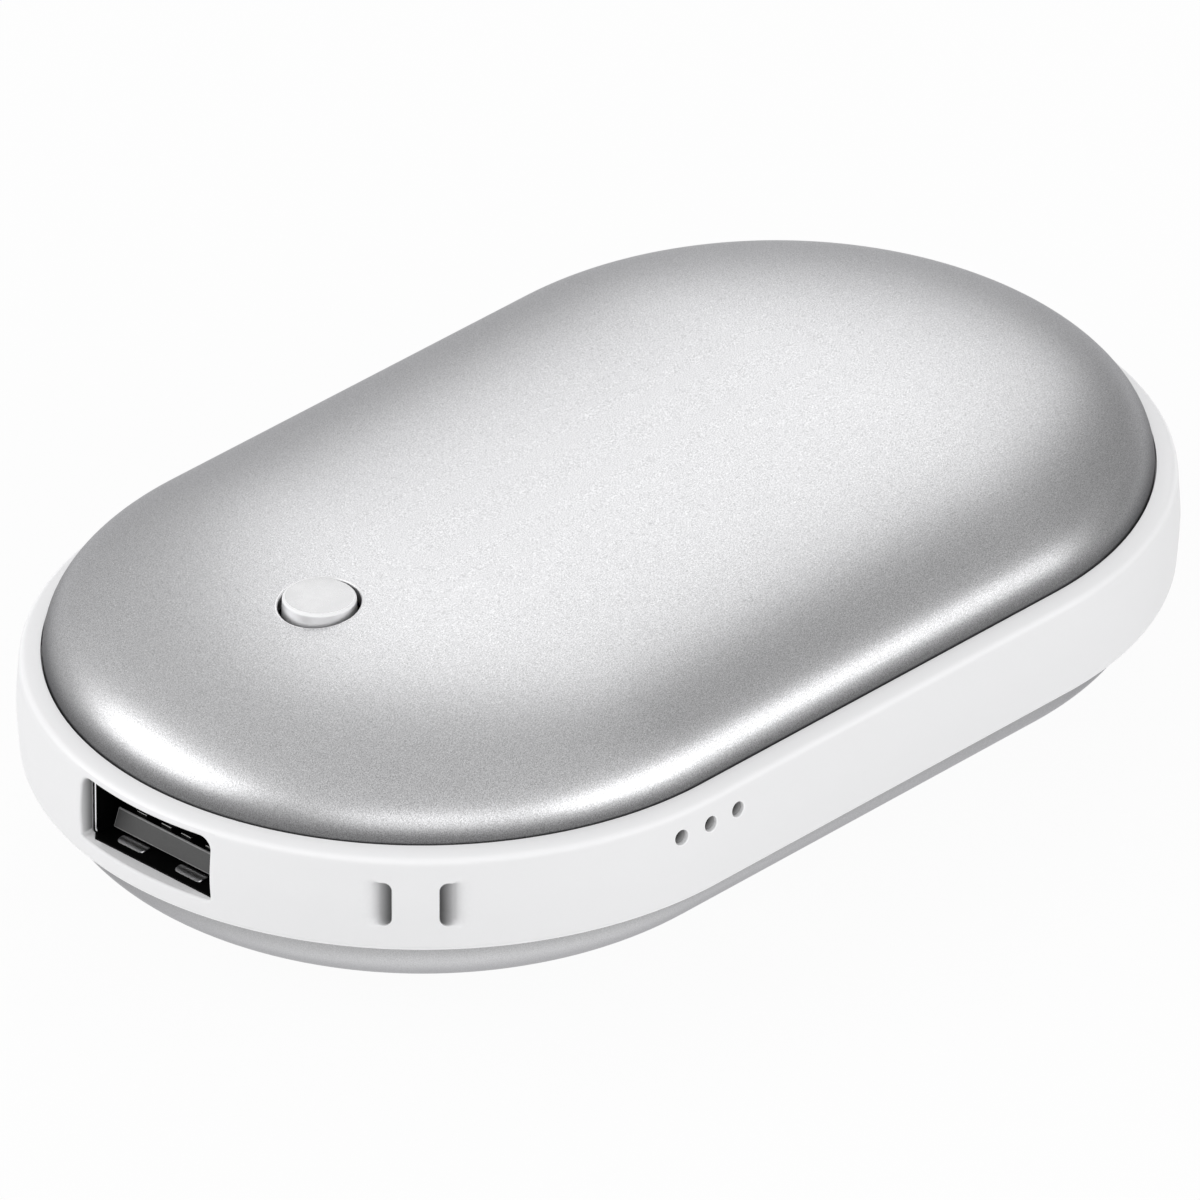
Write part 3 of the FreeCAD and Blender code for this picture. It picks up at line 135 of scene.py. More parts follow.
# USB output socket in the near end
USB_CUT_HALF = 6.55 * MM
USB_CUT_LOW = -2.1 * MM
USB_CUT_HIGH = 3.12 * MM
USB_CUT_CORNER = 1.0 * MM
USB_CUT_FOOT = 0.3 * MM
USB_POCKET_GAP = 0.1 * MM
USB_SHEET = 0.3 * MM
USB_CORNER = 0.5 * MM
USB_RIM = 0.75
USB_RIM_ROUND = USB_SHEET / 6
# Size of the near-black lip on the cut's floor, which is painted shade
LIP_REACH = 0.7 * MM
LIP_TAPER = 0.67 * MM
LIP_HALF = 6.25 * MM
LIP_THICKNESS = 0.08 * MM
SPRING_WIDTH = 2.7 * MM
SPRING_SIDE = 2.95 * MM
SPRING_LENGTH = 1.25 * MM
SPRING_RISE = 0.22 * MM
SPRING_SHEET = 0.1 * MM
SPRING_NOSE = 0.45
TONGUE_CLEARANCE = 0.27 * MM
TONGUE_TALL = 1.45 * MM
TONGUE_INSET = 0.48 * MM
TONGUE_LEAN = 0.58 * MM
LEAN_FADE = 2.0 * MM
TONGUE_EDGE = 0.1 * MM
CONTACT_SIDES = (-3.5 * MM, -1.0 * MM, 1.0 * MM, 3.5 * MM)
CONTACT_WIDTH = 1.0 * MM
CONTACT_EDGE = 0.05 * MM
CONTACT_INSET = 1.4 * MM
CONTACT_THICKNESS = CONTACT_HIGH.z - CONTACT_LOW.z

# Charging socket in the far long side
INLET_X = (INLET_LOW.x + INLET_HIGH.x) / 2
INLET_MIDDLE = (INLET_LOW.z + INLET_HIGH.z) / 2 - MIDDLE
INLET_HALF = (INLET_HIGH.x - INLET_LOW.x) / 2
INLET_HALF_HEIGHT = (INLET_HIGH.z - INLET_LOW.z) / 2
INLET_SLOPE = 0.9 * MM
INLET_CORNER = 0.35 * MM
INLET_SHEET = 0.25 * MM
INLET_GAP = 0.15 * MM

# Indicator lights in the near long side
LIGHT_PITCH = (PIPE_HIGH.x - PIPE_LOW.x) / 3
LIGHT_X = (PIPE_LOW.x + PIPE_HIGH.x) / 2
LIGHT_HEIGHT = (PIPE_LOW.z + PIPE_HIGH.z) / 2 - MIDDLE
LIGHT_HOLE = 0.6 * MM
LIGHT_INSET = 0.1 * MM
PRONG_RADIUS = 0.56 * MM
PIPE_BAR_WIDTH = 3.3 * MM
PRONG_LENGTH = 4.0 * MM
PRONG_DOME = 0.25 * MM

# Lanyard slots: one passage bent round an upright axis just outside the wall
LANYARD_ANGLE = math.radians(180 + 43)
LANYARD_HEIGHT = 0.22 * MM
LANYARD_TALL = 3.5 * MM
LANYARD_AXIS = END_RADIUS + 2.0 * MM
LANYARD_BAR = 3.6 * MM
LANYARD_WIDE = 1.5 * MM
LANYARD_FLARE = 0.75 * MM
# Share of a slot's width over which painted shade greys the passage
LANYARD_SHADE_SPAN = 0.6
LANYARD_CORNER = 0.6 * MM

# Studio: each lamp's turn from straight behind the warmer towards the left, elevation, and size
LAMPS = {
    "back": (-7, 40, 0.46, 0.6),
    "left": (97, 22, 0.62, 0.4),
    "right": (-116, 18, 0.74, 0.32),
    "front": (180, 18, 0.6, 0.4),
}
LAMP_DISTANCE = 0.7
CORNER_TURN = -52
CORNER_ELEVATION = 20
CORNER_REACH = 0.6
FLOOR_RADIUS = 1.2
SENSOR_WIDTH = 36.0
CLIP_END = 10.0

# Fineness of the meshes
STATION_GAP = 1.1 * MM
WALL_ROWS = 24
BAND_ROWS = 3
SHOULDER_ROWS = 8
DOME_ARC_STEPS = 90
DOME_STRAIGHT_STEPS = 36
DOME_ROWS = 48
ROUND_STEPS = 3
ARC_STEPS = 12
BAR_ACROSS = 16
BAR_DOWN = 12
SHEET_ACROSS = 40
SHEET_DOWN = 24
TURN_WEIGHT = 0.05
GUARD = 1.35
TURNED_STEPS = 96
BALL_STEPS = 10
RIM_STEPS = 6
PRONG_STEPS = 8
SPRING_STEPS = 16
PASSAGE_STEPS = 16
INLET_STEPS = (32, 16)
RING_BLENDS = 3
HOLE_BLENDS = 5
UNDER_BLENDS = 2
SHARP = math.radians(40)
SOCKET_SHARP = math.radians(30)
MERGE = 0.5e-6
TINY = 1e-9

# Places of the finishes in the lists of the ring, top shell, button, USB sheet and tongue
WALL, LIP_HIGHLIGHT, PASSAGE_SHADE, SHOULDER_HIGHLIGHT, CUT_LIGHT_AND_SHADE = range(5)
SHELL_FACE, HOLE_EDGE = range(2)
CAP_FACE, CAP_HIGHLIGHT_EDGE, CAP_WALL = range(3)
SHADE_BLACK, NICKEL = range(2)
TONGUE_FACE, TONGUE_HIGHLIGHT_RIM = 1, 2


def plan_station(run):
    """The centre's x and the outward angle at a run along the outline, from the far end's tip."""
    straight = 2 * HALF_STRAIGHT
    if run < QUARTER:
        return HALF_STRAIGHT, run / END_RADIUS
    run -= QUARTER
    if run < straight:
        return HALF_STRAIGHT - run, math.pi / 2
    run -= straight
    if run < 2 * QUARTER:
        return -HALF_STRAIGHT, math.pi / 2 + run / END_RADIUS
    run -= 2 * QUARTER
    if run < straight:
        return run - HALF_STRAIGHT, 1.5 * math.pi
    return HALF_STRAIGHT, 1.5 * math.pi + (run - straight) / END_RADIUS


def near_run(facing, along):
    """The run along the outline of a point beside an outward angle at the near end."""
    start = QUARTER + 2 * HALF_STRAIGHT + (facing - math.pi / 2) * END_RADIUS
    far_side = along < 0 and abs(facing - math.pi / 2) < TINY
    near_side = along > 0 and abs(facing - 1.5 * math.pi) < TINY
    return start + (along if far_side or near_side else END_RADIUS * math.asin(along / END_RADIUS))


def shoulder_arc():
    """Foot of the sloped wall, and start, end and centre of the rounding between it and the band."""
    foot = Vector((END_RADIUS - CROWN_RADIUS * (1 - math.cos(TILT)), CROWN_RADIUS * math.sin(TILT)))
    corner = Vector((foot.x - (SHOULDER_HEIGHT - foot.y) * math.tan(TILT), SHOULDER_HEIGHT))
    down = (foot - corner).normalized()
    across = (Vector((SEAM_RADIUS, SEAM)) - corner).normalized()
    half = down.angle(across) / 2
    reach = SHOULDER_RADIUS / math.tan(half)
    centre = corner + (down + across).normalized() * (SHOULDER_RADIUS / math.sin(half))
    return foot, corner + down * reach, corner + across * reach, centre


WALL_FOOT, SHOULDER_START, SHOULDER_END, SHOULDER_CENTRE = shoulder_arc()


def wall_radius(height):
    """Outer radius of the ring at a height from its middle."""
    rise = abs(height)
    if rise <= WALL_FOOT.y:
        return END_RADIUS - CROWN_RADIUS + math.sqrt(CROWN_RADIUS ** 2 - rise ** 2)
    if rise <= SHOULDER_START.y:
        return WALL_FOOT.x - (rise - WALL_FOOT.y) * math.tan(TILT)
    if rise <= SHOULDER_END.y:
        return SHOULDER_CENTRE.x + math.sqrt(SHOULDER_RADIUS ** 2 - (rise - SHOULDER_CENTRE.y) ** 2)
    share = (rise - SHOULDER_END.y) / (SEAM - SHOULDER_END.y)
    return SHOULDER_END.x + (SEAM_RADIUS - SHOULDER_END.x) * share


def rounded_path(corners):
    """Closely spaced points and outward normals of a clockwise outline of (u, v, radius) corners."""
    points = []
    normals = []
    count = len(corners)
    for i in range(count):
        here = Vector(corners[i][:2])
        back = (Vector(corners[i - 1][:2]) - here).normalized()
        ahead = (Vector(corners[(i + 1) % count][:2]) - here).normalized()
        half = back.angle(ahead) / 2
        radius = corners[i][2]
        centre = here + (back + ahead).normalized() * (radius / math.sin(half))
        first = Vector((back.y, -back.x))
        turn = math.pi - 2 * half
        for k in range(ARC_STEPS + 1):
            normal = Matrix.Rotation(-turn * k / ARC_STEPS, 2) @ first
            points.append(centre + normal * radius)
            normals.append(normal)
        after = corners[(i + 1) % count]
        room = (Vector(after[:2]) - here).length
        reach = radius / math.tan(half)
        if room - reach > after[2] + TINY:
            last = here + ahead * reach
            points.append(last + ahead * ((room - reach - after[2]) / 2))
            normals.append(normals[-1].copy())
    return np.array(points), np.array(normals)


def outline_loop(corners, across, down):
    """Points and normals of an outline, with its steps across the top and down the side given.
    The loop starts in the middle of the upper left corner and goes clockwise."""
    points, normals = rounded_path(corners)
    anchors = []
    for u, v in ((-1, 1), (1, 1), (1, -1), (-1, -1)):
        reach = points @ np.array((u, v))
        furthest = np.flatnonzero(reach > reach.max() - TINY)
        anchors.append(furthest[len(furthest) // 2])
    perimeter = np.linalg.norm(np.roll(points, -1, 0) - points, axis=1).sum()
    loop_points = []
    loop_normals = []
    for side in range(4):
        start, end = anchors[side], anchors[(side + 1) % 4]
        order = np.arange(start, end + 1 if end > start else end + 1 + len(points)) % len(points)
        run, facing = points[order], normals[order]
        turns = np.arccos(np.clip((facing[1:] * facing[:-1]).sum(1), -1, 1))
        weights = np.linalg.norm(np.diff(run, axis=0), axis=1) + TURN_WEIGHT * perimeter * turns
        marks = np.concatenate(([0], np.cumsum(weights)))
        steps = down if side % 2 else across
        wanted = marks[-1] * np.arange(steps) / steps
        for mark in wanted:
            loop_points.append([np.interp(mark, marks, run[:, k]) for k in range(2)])
            loop_normals.append([np.interp(mark, marks, facing[:, k]) for k in range(2)])
    lengths = np.linalg.norm(loop_normals, axis=1)[:, None]
    return np.array(loop_points), np.array(loop_normals) / lengths


def box_corners(half, low, high, radius, middle=0.0, foot=None):
    foot = radius if foot is None else foot
    return [(middle - half, high, radius), (middle + half, high, radius),
            (middle + half, low, foot), (middle - half, low, foot)]


class Skin:
    """Points and faces gathered loop by loop, then made into one object."""

    def __init__(self):
        self.points = []
        self.faces = []
        self.finishes = []

    def loop(self, points):
        start = len(self.points)
        self.points.extend(Vector(p) for p in points)
        return list(range(start, len(self.points)))

    def face(self, corners, finish=0):
        self.faces.append(tuple(corners))
        self.finishes.append(finish)

    def band(self, first, second, finish=0):
        for i in range(len(first)):
            j = (i + 1) % len(first)
            self.face((first[i], first[j], second[j], second[i]), finish)

    def run(self, first, loops, finish=0):
        """Bands from a loop through further loops of points; gives the last loop."""
        for points in loops:
            following = self.loop(points)
            self.band(first, following, finish)
            first = following
        return first

    def closed(self, loops, finish=0):
        """A tube through loops of points, with a face across both ends."""
        first = self.loop(loops[0])
        last = self.run(first, loops[1:], finish)
        self.face(first, finish)
        self.face(last, finish)

    def build(self, name, materials, sharp):
        mesh = bpy.data.meshes.new(name)
        mesh.from_pydata(self.points, [], self.faces)
        mesh.polygons.foreach_set("material_index", self.finishes)
        work = bmesh.new()
        work.from_mesh(mesh)
        bmesh.ops.remove_doubles(work, verts=work.verts, dist=MERGE)
        bmesh.ops.dissolve_degenerate(work, edges=work.edges, dist=MERGE)
        loose = [v for v in work.verts if not v.link_faces]
        bmesh.ops.delete(work, geom=loose, context="VERTS")
        bmesh.ops.recalc_face_normals(work, faces=work.faces)
        work.to_mesh(mesh)
        work.free()
        mesh.shade_smooth()
        mesh.set_sharp_from_angle(angle=sharp)
        for material in materials:
            mesh.materials.append(material)
        piece = bpy.data.objects.new(name, mesh)
        bpy.context.scene.collection.objects.link(piece)
        shading = piece.modifiers.new("even_shading", "WEIGHTED_NORMAL")
        shading.keep_sharp = True
        return piece


def place(piece, body, slot, *nodes):
    """Attaches a finished piece to what it moves with and hides the solids it stands for.
    Its slot is not used.
    """
    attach(piece, body)
    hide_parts(*nodes)


def quarter_turn(steps):
    """Even angles from zero to a right angle."""
    return [math.pi / 2 * k / steps for k in range(steps + 1)]


def rounding(size):
    """Outset and depth of the loops that round an opening's edge, from the face inwards."""
    return [(size * (1 - math.sin(a)), size * (1 - math.cos(a))) for a in quarter_turn(ROUND_STEPS)]


def window_edge(columns, first, last, upper, lower):
    """The grid's points round a window, clockwise from its upper left corner as seen from outside."""
    step = 1 if lower > upper else -1
    edge = [columns[i][upper] for i in range(first, last)]
    edge += [columns[last][j] for j in range(upper, lower, step)]
    edge += [columns[i][lower] for i in range(last, first, -1)]
    edge += [columns[first][j] for j in range(lower, upper, -step)]
    return edge


def open_window(skin, edge, flat, outline, lay, edge_round, blends, edge_finish=0):
    """Fills from a window's edge to an opening's outline and rounds that, by one size or by a size
    for each point; gives the inner loop."""
    points, normals = outline
    sizes = np.broadcast_to(edge_round, len(points))
    guard = points + normals * (sizes * GUARD)[:, None]
    loops = []
    for k in range(1, blends + 1):
        share = k / (blends + 1)
        loops.append([lay(*uv, 0) for uv in flat * (1 - share) + guard * share])
    loops.append([lay(*uv, 0) for uv in guard])
    rounds = []
    for outset, depth in rounding(1.0):
        spread = points + normals * (sizes * outset)[:, None]
        rounds.append([lay(*uv, depth * size) for uv, size in zip(spread, sizes)])
    inner = skin.run(edge, loops + rounds[:1])
    return skin.run(inner, rounds[1:], edge_finish)


class Opening:
    """An opening in the ring's wall at the near end, drawn flat as (along, height)."""

    def __init__(self, facing, corners, margin):
        self.out = Vector((math.cos(facing), math.sin(facing)))
        self.side = Vector((-math.sin(facing), math.cos(facing)))
        self.corners = corners
        self.low = min(c[1] for c in corners) - margin
        self.high = max(c[1] for c in corners) + margin
        self.start = near_run(facing, min(c[0] for c in corners) - margin)
        self.end = near_run(facing, max(c[0] for c in corners) + margin)

    def wall_out(self, along, radius):
        """How far out the wall is, beside the outward line."""
        out = math.sqrt(radius ** 2 - along ** 2)
        return radius if along * self.side.x + out * self.out.x > TINY else out

    def at(self, along, height, out):
        plan = NEAR_CENTRE + self.side * along + self.out * out
        return plan.x, plan.y, MIDDLE + height

    def lay(self, along, height, depth):
        return self.at(along, height, self.wall_out(along, wall_radius(height)) - depth)

    def lay_inside(self, along, height):
        return self.at(along, height, self.wall_out(along, INNER_RADIUS))

    def flatten(self, point):
        return (point.xy - NEAR_CENTRE).dot(self.side), point.z - MIDDLE


class LanyardSlot(Opening):
    """One mouth of the lanyard's passage, which bends round an upright axis outside the wall."""

    def __init__(self, sign, margin):
        self.sign = sign
        corners = box_corners(LANYARD_WIDE / 2, LANYARD_HEIGHT - LANYARD_TALL / 2,
                              LANYARD_HEIGHT + LANYARD_TALL / 2, LANYARD_CORNER,
                              sign * (LANYARD_BAR + LANYARD_WIDE) / 2)
        super().__init__(LANYARD_ANGLE, corners, margin + LANYARD_FLARE)

    def edge_sizes(self, normals, least):
        """Rounding of the mouth's edge: flared on the side away from the bar, and crisp elsewhere."""
        away = np.clip(normals[:, 0] * self.sign, 0, 1)
        return least + (LANYARD_FLARE - least) * away

    def bend(self, along, height):
        """Reach from the passage's axis, and angle about it, of a place on the wall."""
        back = LANYARD_AXIS - math.sqrt(wall_radius(height) ** 2 - along ** 2)
        return math.hypot(along, back), math.atan2(abs(along), back)

    def in_passage(self, reach, height, angle):
        return self.at(math.sin(angle) * reach, height, LANYARD_AXIS - math.cos(angle) * reach)

    def lay(self, along, height, depth):
        reach, angle = self.bend(along, height)
        return self.in_passage(reach, height, self.sign * (angle - depth / reach))


def spaced(start, end, gap):
    """Even marks from start up to, but without, end."""
    steps = max(1, math.ceil((end - start) / gap - TINY))
    return [start + (end - start) * k / steps for k in range(steps)]


def wall_heights():
    """Heights of the ring's outer rows, from the top edge of the band to the bottom one."""
    start = math.asin((SHOULDER_START.y - SHOULDER_CENTRE.y) / SHOULDER_RADIUS)
    end = math.asin((SHOULDER_END.y - SHOULDER_CENTRE.y) / SHOULDER_RADIUS)
    upper = [SEAM - (SEAM - SHOULDER_END.y) * k / BAND_ROWS for k in range(BAND_ROWS)]
    for k in range(SHOULDER_ROWS):
        angle = end + (start - end) * k / SHOULDER_ROWS
        upper.append(SHOULDER_CENTRE.y + SHOULDER_RADIUS * math.sin(angle))
    straight = [SHOULDER_START.y * (1 - 2 * k / WALL_ROWS) for k in range(WALL_ROWS + 1)]
    return upper + straight + [-h for h in reversed(upper)]


def ring_section(heights, lip):
    """The closed section of the ring as (radius, height), with where its inner rows start."""
    outer = [(wall_radius(h), h) for h in heights]
    slope = (SEAM - SHOULDER_END.y) / (SHOULDER_END.x - SEAM_RADIUS)
    outer[0] = (SEAM_RADIUS + lip, SEAM - lip * slope)
    outer[-1] = (SEAM_RADIUS + lip, lip * slope - SEAM)
    edge = [(SEAM_RADIUS + lip * out, SEAM - lip * down) for out, down in LIP_POINTS]
    groove = edge + [(SEAM_RADIUS, LEDGE), (INNER_RADIUS, LEDGE)]
    inner = [(INNER_RADIUS, h) for h in heights if abs(h) < LEDGE]
    below = [(r, -h) for r, h in groove]
    return outer + below + inner[::-1] + groove[::-1], len(outer) + len(below)


def ring_openings(margin):
    cut = box_corners(USB_CUT_HALF, USB_CUT_LOW, USB_CUT_HIGH, USB_CUT_CORNER, foot=USB_CUT_FOOT)
    usb = Opening(math.pi, cut, margin)
    half = INLET_HALF + INLET_GAP
    high = INLET_MIDDLE + INLET_HALF_HEIGHT + INLET_GAP
    low = INLET_MIDDLE - INLET_HALF_HEIGHT - INLET_GAP
    middle = NEAR_CENTRE.x - INLET_X
    inlet = Opening(math.pi / 2, inlet_corners(half, low, high, INLET_CORNER, middle), margin)
    lights = []
    for k in (-1, 0, 1):
        along = LIGHT_X + k * LIGHT_PITCH - NEAR_CENTRE.x
        corners = box_corners(LIGHT_HOLE, LIGHT_HEIGHT - LIGHT_HOLE, LIGHT_HEIGHT + LIGHT_HOLE,
                              LIGHT_HOLE - TINY, along)
        lights.append(Opening(1.5 * math.pi, corners, margin))
    slots = [LanyardSlot(-1, margin), LanyardSlot(1, margin)]
    return usb, inlet, slots, lights


def inlet_corners(half, low, high, radius, middle=0.0):
    return [(middle - half, high, radius), (middle + half, high, radius),
            (middle + half, low + INLET_SLOPE, radius), (middle + half - INLET_SLOPE, low, radius),
            (middle - half + INLET_SLOPE, low, radius), (middle - half, low + INLET_SLOPE, radius)]


def ring_marks(openings, step):
    """Runs along the outline of the ring's columns, and each opening's first and last column."""
    marks = []
    reached = 0.0
    spans = []
    for opening in openings:
        marks += spaced(reached, opening.start, STATION_GAP)
        count = 2 * math.ceil((opening.end - opening.start) / step / 2)
        spans.append((len(marks), len(marks) + count))
        marks += [opening.start + (opening.end - opening.start) * k / count for k in range(count)]
        reached = opening.end
    return marks + spaced(reached, OUTLINE, STATION_GAP), spans


def build_ring(sizes):
    """The white middle ring as one closed skin with its openings."""
    usb, inlet, slots, lights = ring_openings(sizes.opening_margin)
    openings = [inlet, usb, *slots, *lights]
    marks, spans = ring_marks(openings, sizes.opening_step)
    heights = wall_heights()
    section, inner_start = ring_section(heights, sizes.lip_round)
    inside = [h for h in heights if abs(h) < LEDGE]
    skin = Skin()
    columns = []
    for mark in marks:
        x, angle = plan_station(mark)
        columns.append(skin.loop(
            (x + r * math.cos(angle), r * math.sin(angle), MIDDLE + h) for r, h in section))
    removed = set()
    windows = []
    for opening, (first, last) in zip(openings, spans):
        upper = max(j for j, h in enumerate(heights) if h >= opening.high)
        lower = min(j for j, h in enumerate(heights) if h <= opening.low)
        removed.update((i, j) for i in range(first, last) for j in range(upper, lower))
        through = None
        if not isinstance(opening, LanyardSlot):
            skipped = heights.index(inside[0])
            top = inner_start + len(inside) - 1 - (upper - skipped)
            bottom = inner_start + len(inside) - 1 - (lower - skipped)
            removed.update((i, j) for i in range(first, last) for j in range(bottom, top))
            through = window_edge(columns, first, last, top, bottom)
        windows.append((opening, window_edge(columns, first, last, upper, lower),
                        last - first, lower - upper, through))
    rows = len(section)
    last_row = len(heights) - 1
    # Painted highlights on the rows of the lip at the seam and of the shoulder, and painted light on the
    # band
    finishes = dict.fromkeys((rows - 2, rows - 1, last_row, last_row + 1), LIP_HIGHLIGHT)
    for j in range(BAND_ROWS + SHOULDER_ROWS):
        finishes[j] = finishes[last_row - 1 - j] = SHOULDER_HIGHLIGHT
    for i in range(len(columns)):
        here, following = columns[i], columns[(i + 1) % len(columns)]
        for j in range(rows):
            if (i, j) not in removed:
                k = (j + 1) % rows
                skin.face((here[j], following[j], following[k], here[k]), finishes.get(j, WALL))

    mouths = []
    for opening, edge, across, down, through in windows:
        edge_round = sizes.usb_round if opening is usb else sizes.opening_round
        outline = outline_loop(opening.corners, across, down)
        flat = np.array([opening.flatten(skin.points[k]) for k in edge])
        points = outline[0]
        # The light windows' rims take the lip's painted highlight
        edge_finish = LIP_HIGHLIGHT if opening in lights else WALL
        if isinstance(opening, LanyardSlot):
            edge_round = opening.edge_sizes(outline[1], edge_round)
            # The slot's mouth takes the passage's painted shade
            edge_finish = PASSAGE_SHADE
        loop = open_window(skin, edge, flat, outline, opening.lay, edge_round, RING_BLENDS, edge_finish)
        if opening is usb:
            front = (USB_POCKET_GAP - USB_LOW.x) - HALF_STRAIGHT
            pocket_half = USB_HIGH.y + USB_POCKET_GAP
            low = USB_LOW.z - MIDDLE - USB_POCKET_GAP
            high = USB_HIGH.z - MIDDLE + USB_POCKET_GAP
            # The cut's faces carry painted light on the floor and painted shade on the sides
            loop = skin.run(loop, [[usb.at(*uv, front) for uv in points]], CUT_LIGHT_AND_SHADE)
            points = outline_loop(box_corners(pocket_half, low, high, USB_CORNER), across, down)[0]
            loop = skin.run(loop, [[usb.at(*uv, front) for uv in points]])
        if through:
            loop = skin.run(loop, [[opening.lay_inside(*uv) for uv in points]])
            skin.band(loop, through)
        else:
            mouths.append((opening, loop, points, across, edge_round))
    join_lanyard(skin, *mouths)
    return skin


def join_lanyard(skin, left, right):
    """The bent passage between the two lanyard mouths, behind the bar."""
    opening, loop, points, across, edge_sizes = left
    count = len(points)
    partner = [right[1][(across - k) % count] for k in range(count)]
    loops = []
    for step in range(1, PASSAGE_STEPS):
        share = step / PASSAGE_STEPS
        ring = []
        for (along, height), size in zip(points, edge_sizes):
            reach, angle = opening.bend(along, height)
            ring.append(opening.in_passage(reach, height, (angle - size / reach) * (2 * share - 1)))
        loops.append(ring)
    skin.band(skin.run(loop, loops, PASSAGE_SHADE), partner, PASSAGE_SHADE)


def dome_rise(x, y, radius, rise, power):
    """Height of a shell's face over the seam at a place in plan."""
    reach = math.hypot(max(abs(x) - HALF_STRAIGHT, 0.0), y)
    return rise * max(0.0, 1 - min(1.0, reach / radius) ** power) ** (1 / power)


def dome_stations():
    stations = []
    for end, start in ((HALF_STRAIGHT, -math.pi / 2), (-HALF_STRAIGHT, math.pi / 2)):
        stations += [(end, start + math.pi * k / DOME_ARC_STEPS) for k in range(DOME_ARC_STEPS)]
        stations += [(end - 2 * end * k / DOME_STRAIGHT_STEPS, start + math.pi)
                     for k in range(DOME_STRAIGHT_STEPS)]
    return stations


def dome_reaches(radius, power, extra=()):
    """Plan radii of a shell's rows from its edge to its ridge, close together near the edge."""
    reaches = {radius * math.sin(a) ** (2 / power) for a in quarter_turn(DOME_ROWS)}
    return sorted(reaches | set(extra), reverse=True)


def dome_columns(skin, radius, rise, power, reaches, sign, top):
    """Points of one face of a shell, a column for each station."""
    columns = []
    for x, angle in dome_stations():
        points = []
        for reach in reaches:
            px, py = x + reach * math.cos(angle), reach * math.sin(angle)
            height = min(dome_rise(px, py, radius, rise, power), top)
            points.append((px, py, MIDDLE + sign * (SEAM + height)))
        columns.append(skin.loop(points))
    return columns


def dome_faces(skin, columns, removed=()):
    for i in range(len(columns)):
        here, following = columns[i], columns[(i + 1) % len(columns)]
        for j in range(len(here) - 1):
            if (i, j) not in removed:
                skin.face((here[j], following[j], following[j + 1], here[j + 1]))


def hole_window(reaches):
    """Stations and rows of the window that the button's hole takes in a shell's face."""
    stations = dome_stations()
    turn = math.asin(HOLE_RADIUS * HOLE_TURN_ROOM / HOLE_OUT)
    first = max(i for i, (x, a) in enumerate(stations) if x < 0 and a <= math.pi - turn)
    last = min(i for i, (x, a) in enumerate(stations) if x < 0 and a >= math.pi + turn)
    upper = max(j for j, reach in enumerate(reaches) if reach >= HOLE_OUT + HOLE_RADIUS * HOLE_ROOM)
    lower = min(j for j, reach in enumerate(reaches) if reach <= HOLE_OUT - HOLE_RADIUS * HOLE_ROOM)
    return first, last, upper, lower


def build_shell(sizes, sign, low, holed):
    """A metal shell with its wall, and the top one's hole for the button."""
    power = sizes.dome_power
    skin = Skin()
    inner_radius, inner_rise = SHELL_RADIUS - SHELL_WALL, SHELL_RISE - SHELL_WALL
    top = SHELL_RISE if holed else FLAT_RISE
    flat_edge = SHELL_RADIUS * (1 - (FLAT_RISE / SHELL_RISE) ** power) ** (1 / power)
    outer_reaches = dome_reaches(SHELL_RADIUS, power, () if holed else (flat_edge,))
    inner_reaches = dome_reaches(inner_radius, power)
    outer = dome_columns(skin, SHELL_RADIUS, SHELL_RISE, power, outer_reaches, sign, top)
    inner = dome_columns(skin, inner_radius, inner_rise, power, inner_reaches, sign, inner_rise)
    cut = []
    for columns, reaches in ((outer, outer_reaches), (inner, inner_reaches)):
        window = hole_window(reaches) if holed else (0, 0, 0, 0)
        first, last, upper, lower = window
        dome_faces(skin, columns, {(i, j) for i in range(first, last) for j in range(upper, lower)})
        cut.append(window)
    foot = sizes.lip_round
    edges = []
    for radius, height in ((SHELL_RADIUS, low + sign * foot), (SHELL_RADIUS - foot, low),
                           (inner_radius, low)):
        edges.append([(x + radius * math.cos(a), radius * math.sin(a), height)
                      for x, a in dome_stations()])
    last_edge = skin.run([c[0] for c in outer], edges)
    skin.band(last_edge, [c[0] for c in inner])
    if holed:
        bore_hole(skin, sizes, outer, inner, cut)
    return skin


def bore_hole(skin, sizes, outer, inner, cut):
    """The button's hole, with a bright cut edge on the outside."""
    corners = box_corners(HOLE_RADIUS, HOLE_OUT - HOLE_RADIUS, HOLE_OUT + HOLE_RADIUS,
                          HOLE_RADIUS - TINY)

    def open_face(columns, window, inset, edge_round, blends, edge_finish):
        """Opens one face of the shell, which lies an inset under the outer face."""
        first, last, upper, lower = window
        edge = window_edge(columns, *window)
        flat = np.array([(-skin.points[k].y, NEAR_CENTRE.x - skin.points[k].x) for k in edge])

        def lay(along, out, depth):
            x, y = NEAR_CENTRE.x - out, -along
            rise = dome_rise(x, y, SHELL_RADIUS - inset, SHELL_RISE - inset, sizes.dome_power)
            return x, y, MIDDLE + SEAM + rise - depth

        outline = outline_loop(corners, last - first, lower - upper)
        return open_window(skin, edge, flat, outline, lay, edge_round, blends, edge_finish)

    mouth = open_face(outer, cut[0], 0.0, sizes.hole_bevel, HOLE_BLENDS, HOLE_EDGE)
    back = open_face(inner, cut[1], SHELL_WALL, sizes.lip_round, UNDER_BLENDS, SHELL_FACE)
    if len(back) != len(mouth):
        raise RuntimeError("the hole's two faces have different numbers of points")
    skin.band(mouth, back)


def turned(skin, origin, axis, profile, steps, finish=0):
    """A turned piece from (radius, height) points along an axis."""
    along = Vector(axis).normalized()
    across = along.orthogonal().normalized()
    up = along.cross(across)
    loops = []
    for radius, height in profile:
        middle = Vector(origin) + along * height
        loops.append([middle + (across * math.cos(a) + up * math.sin(a)) * radius
                      for a in (2 * math.pi * k / steps for k in range(steps))])
    return skin.run(skin.loop(loops[0]), loops[1:], finish)


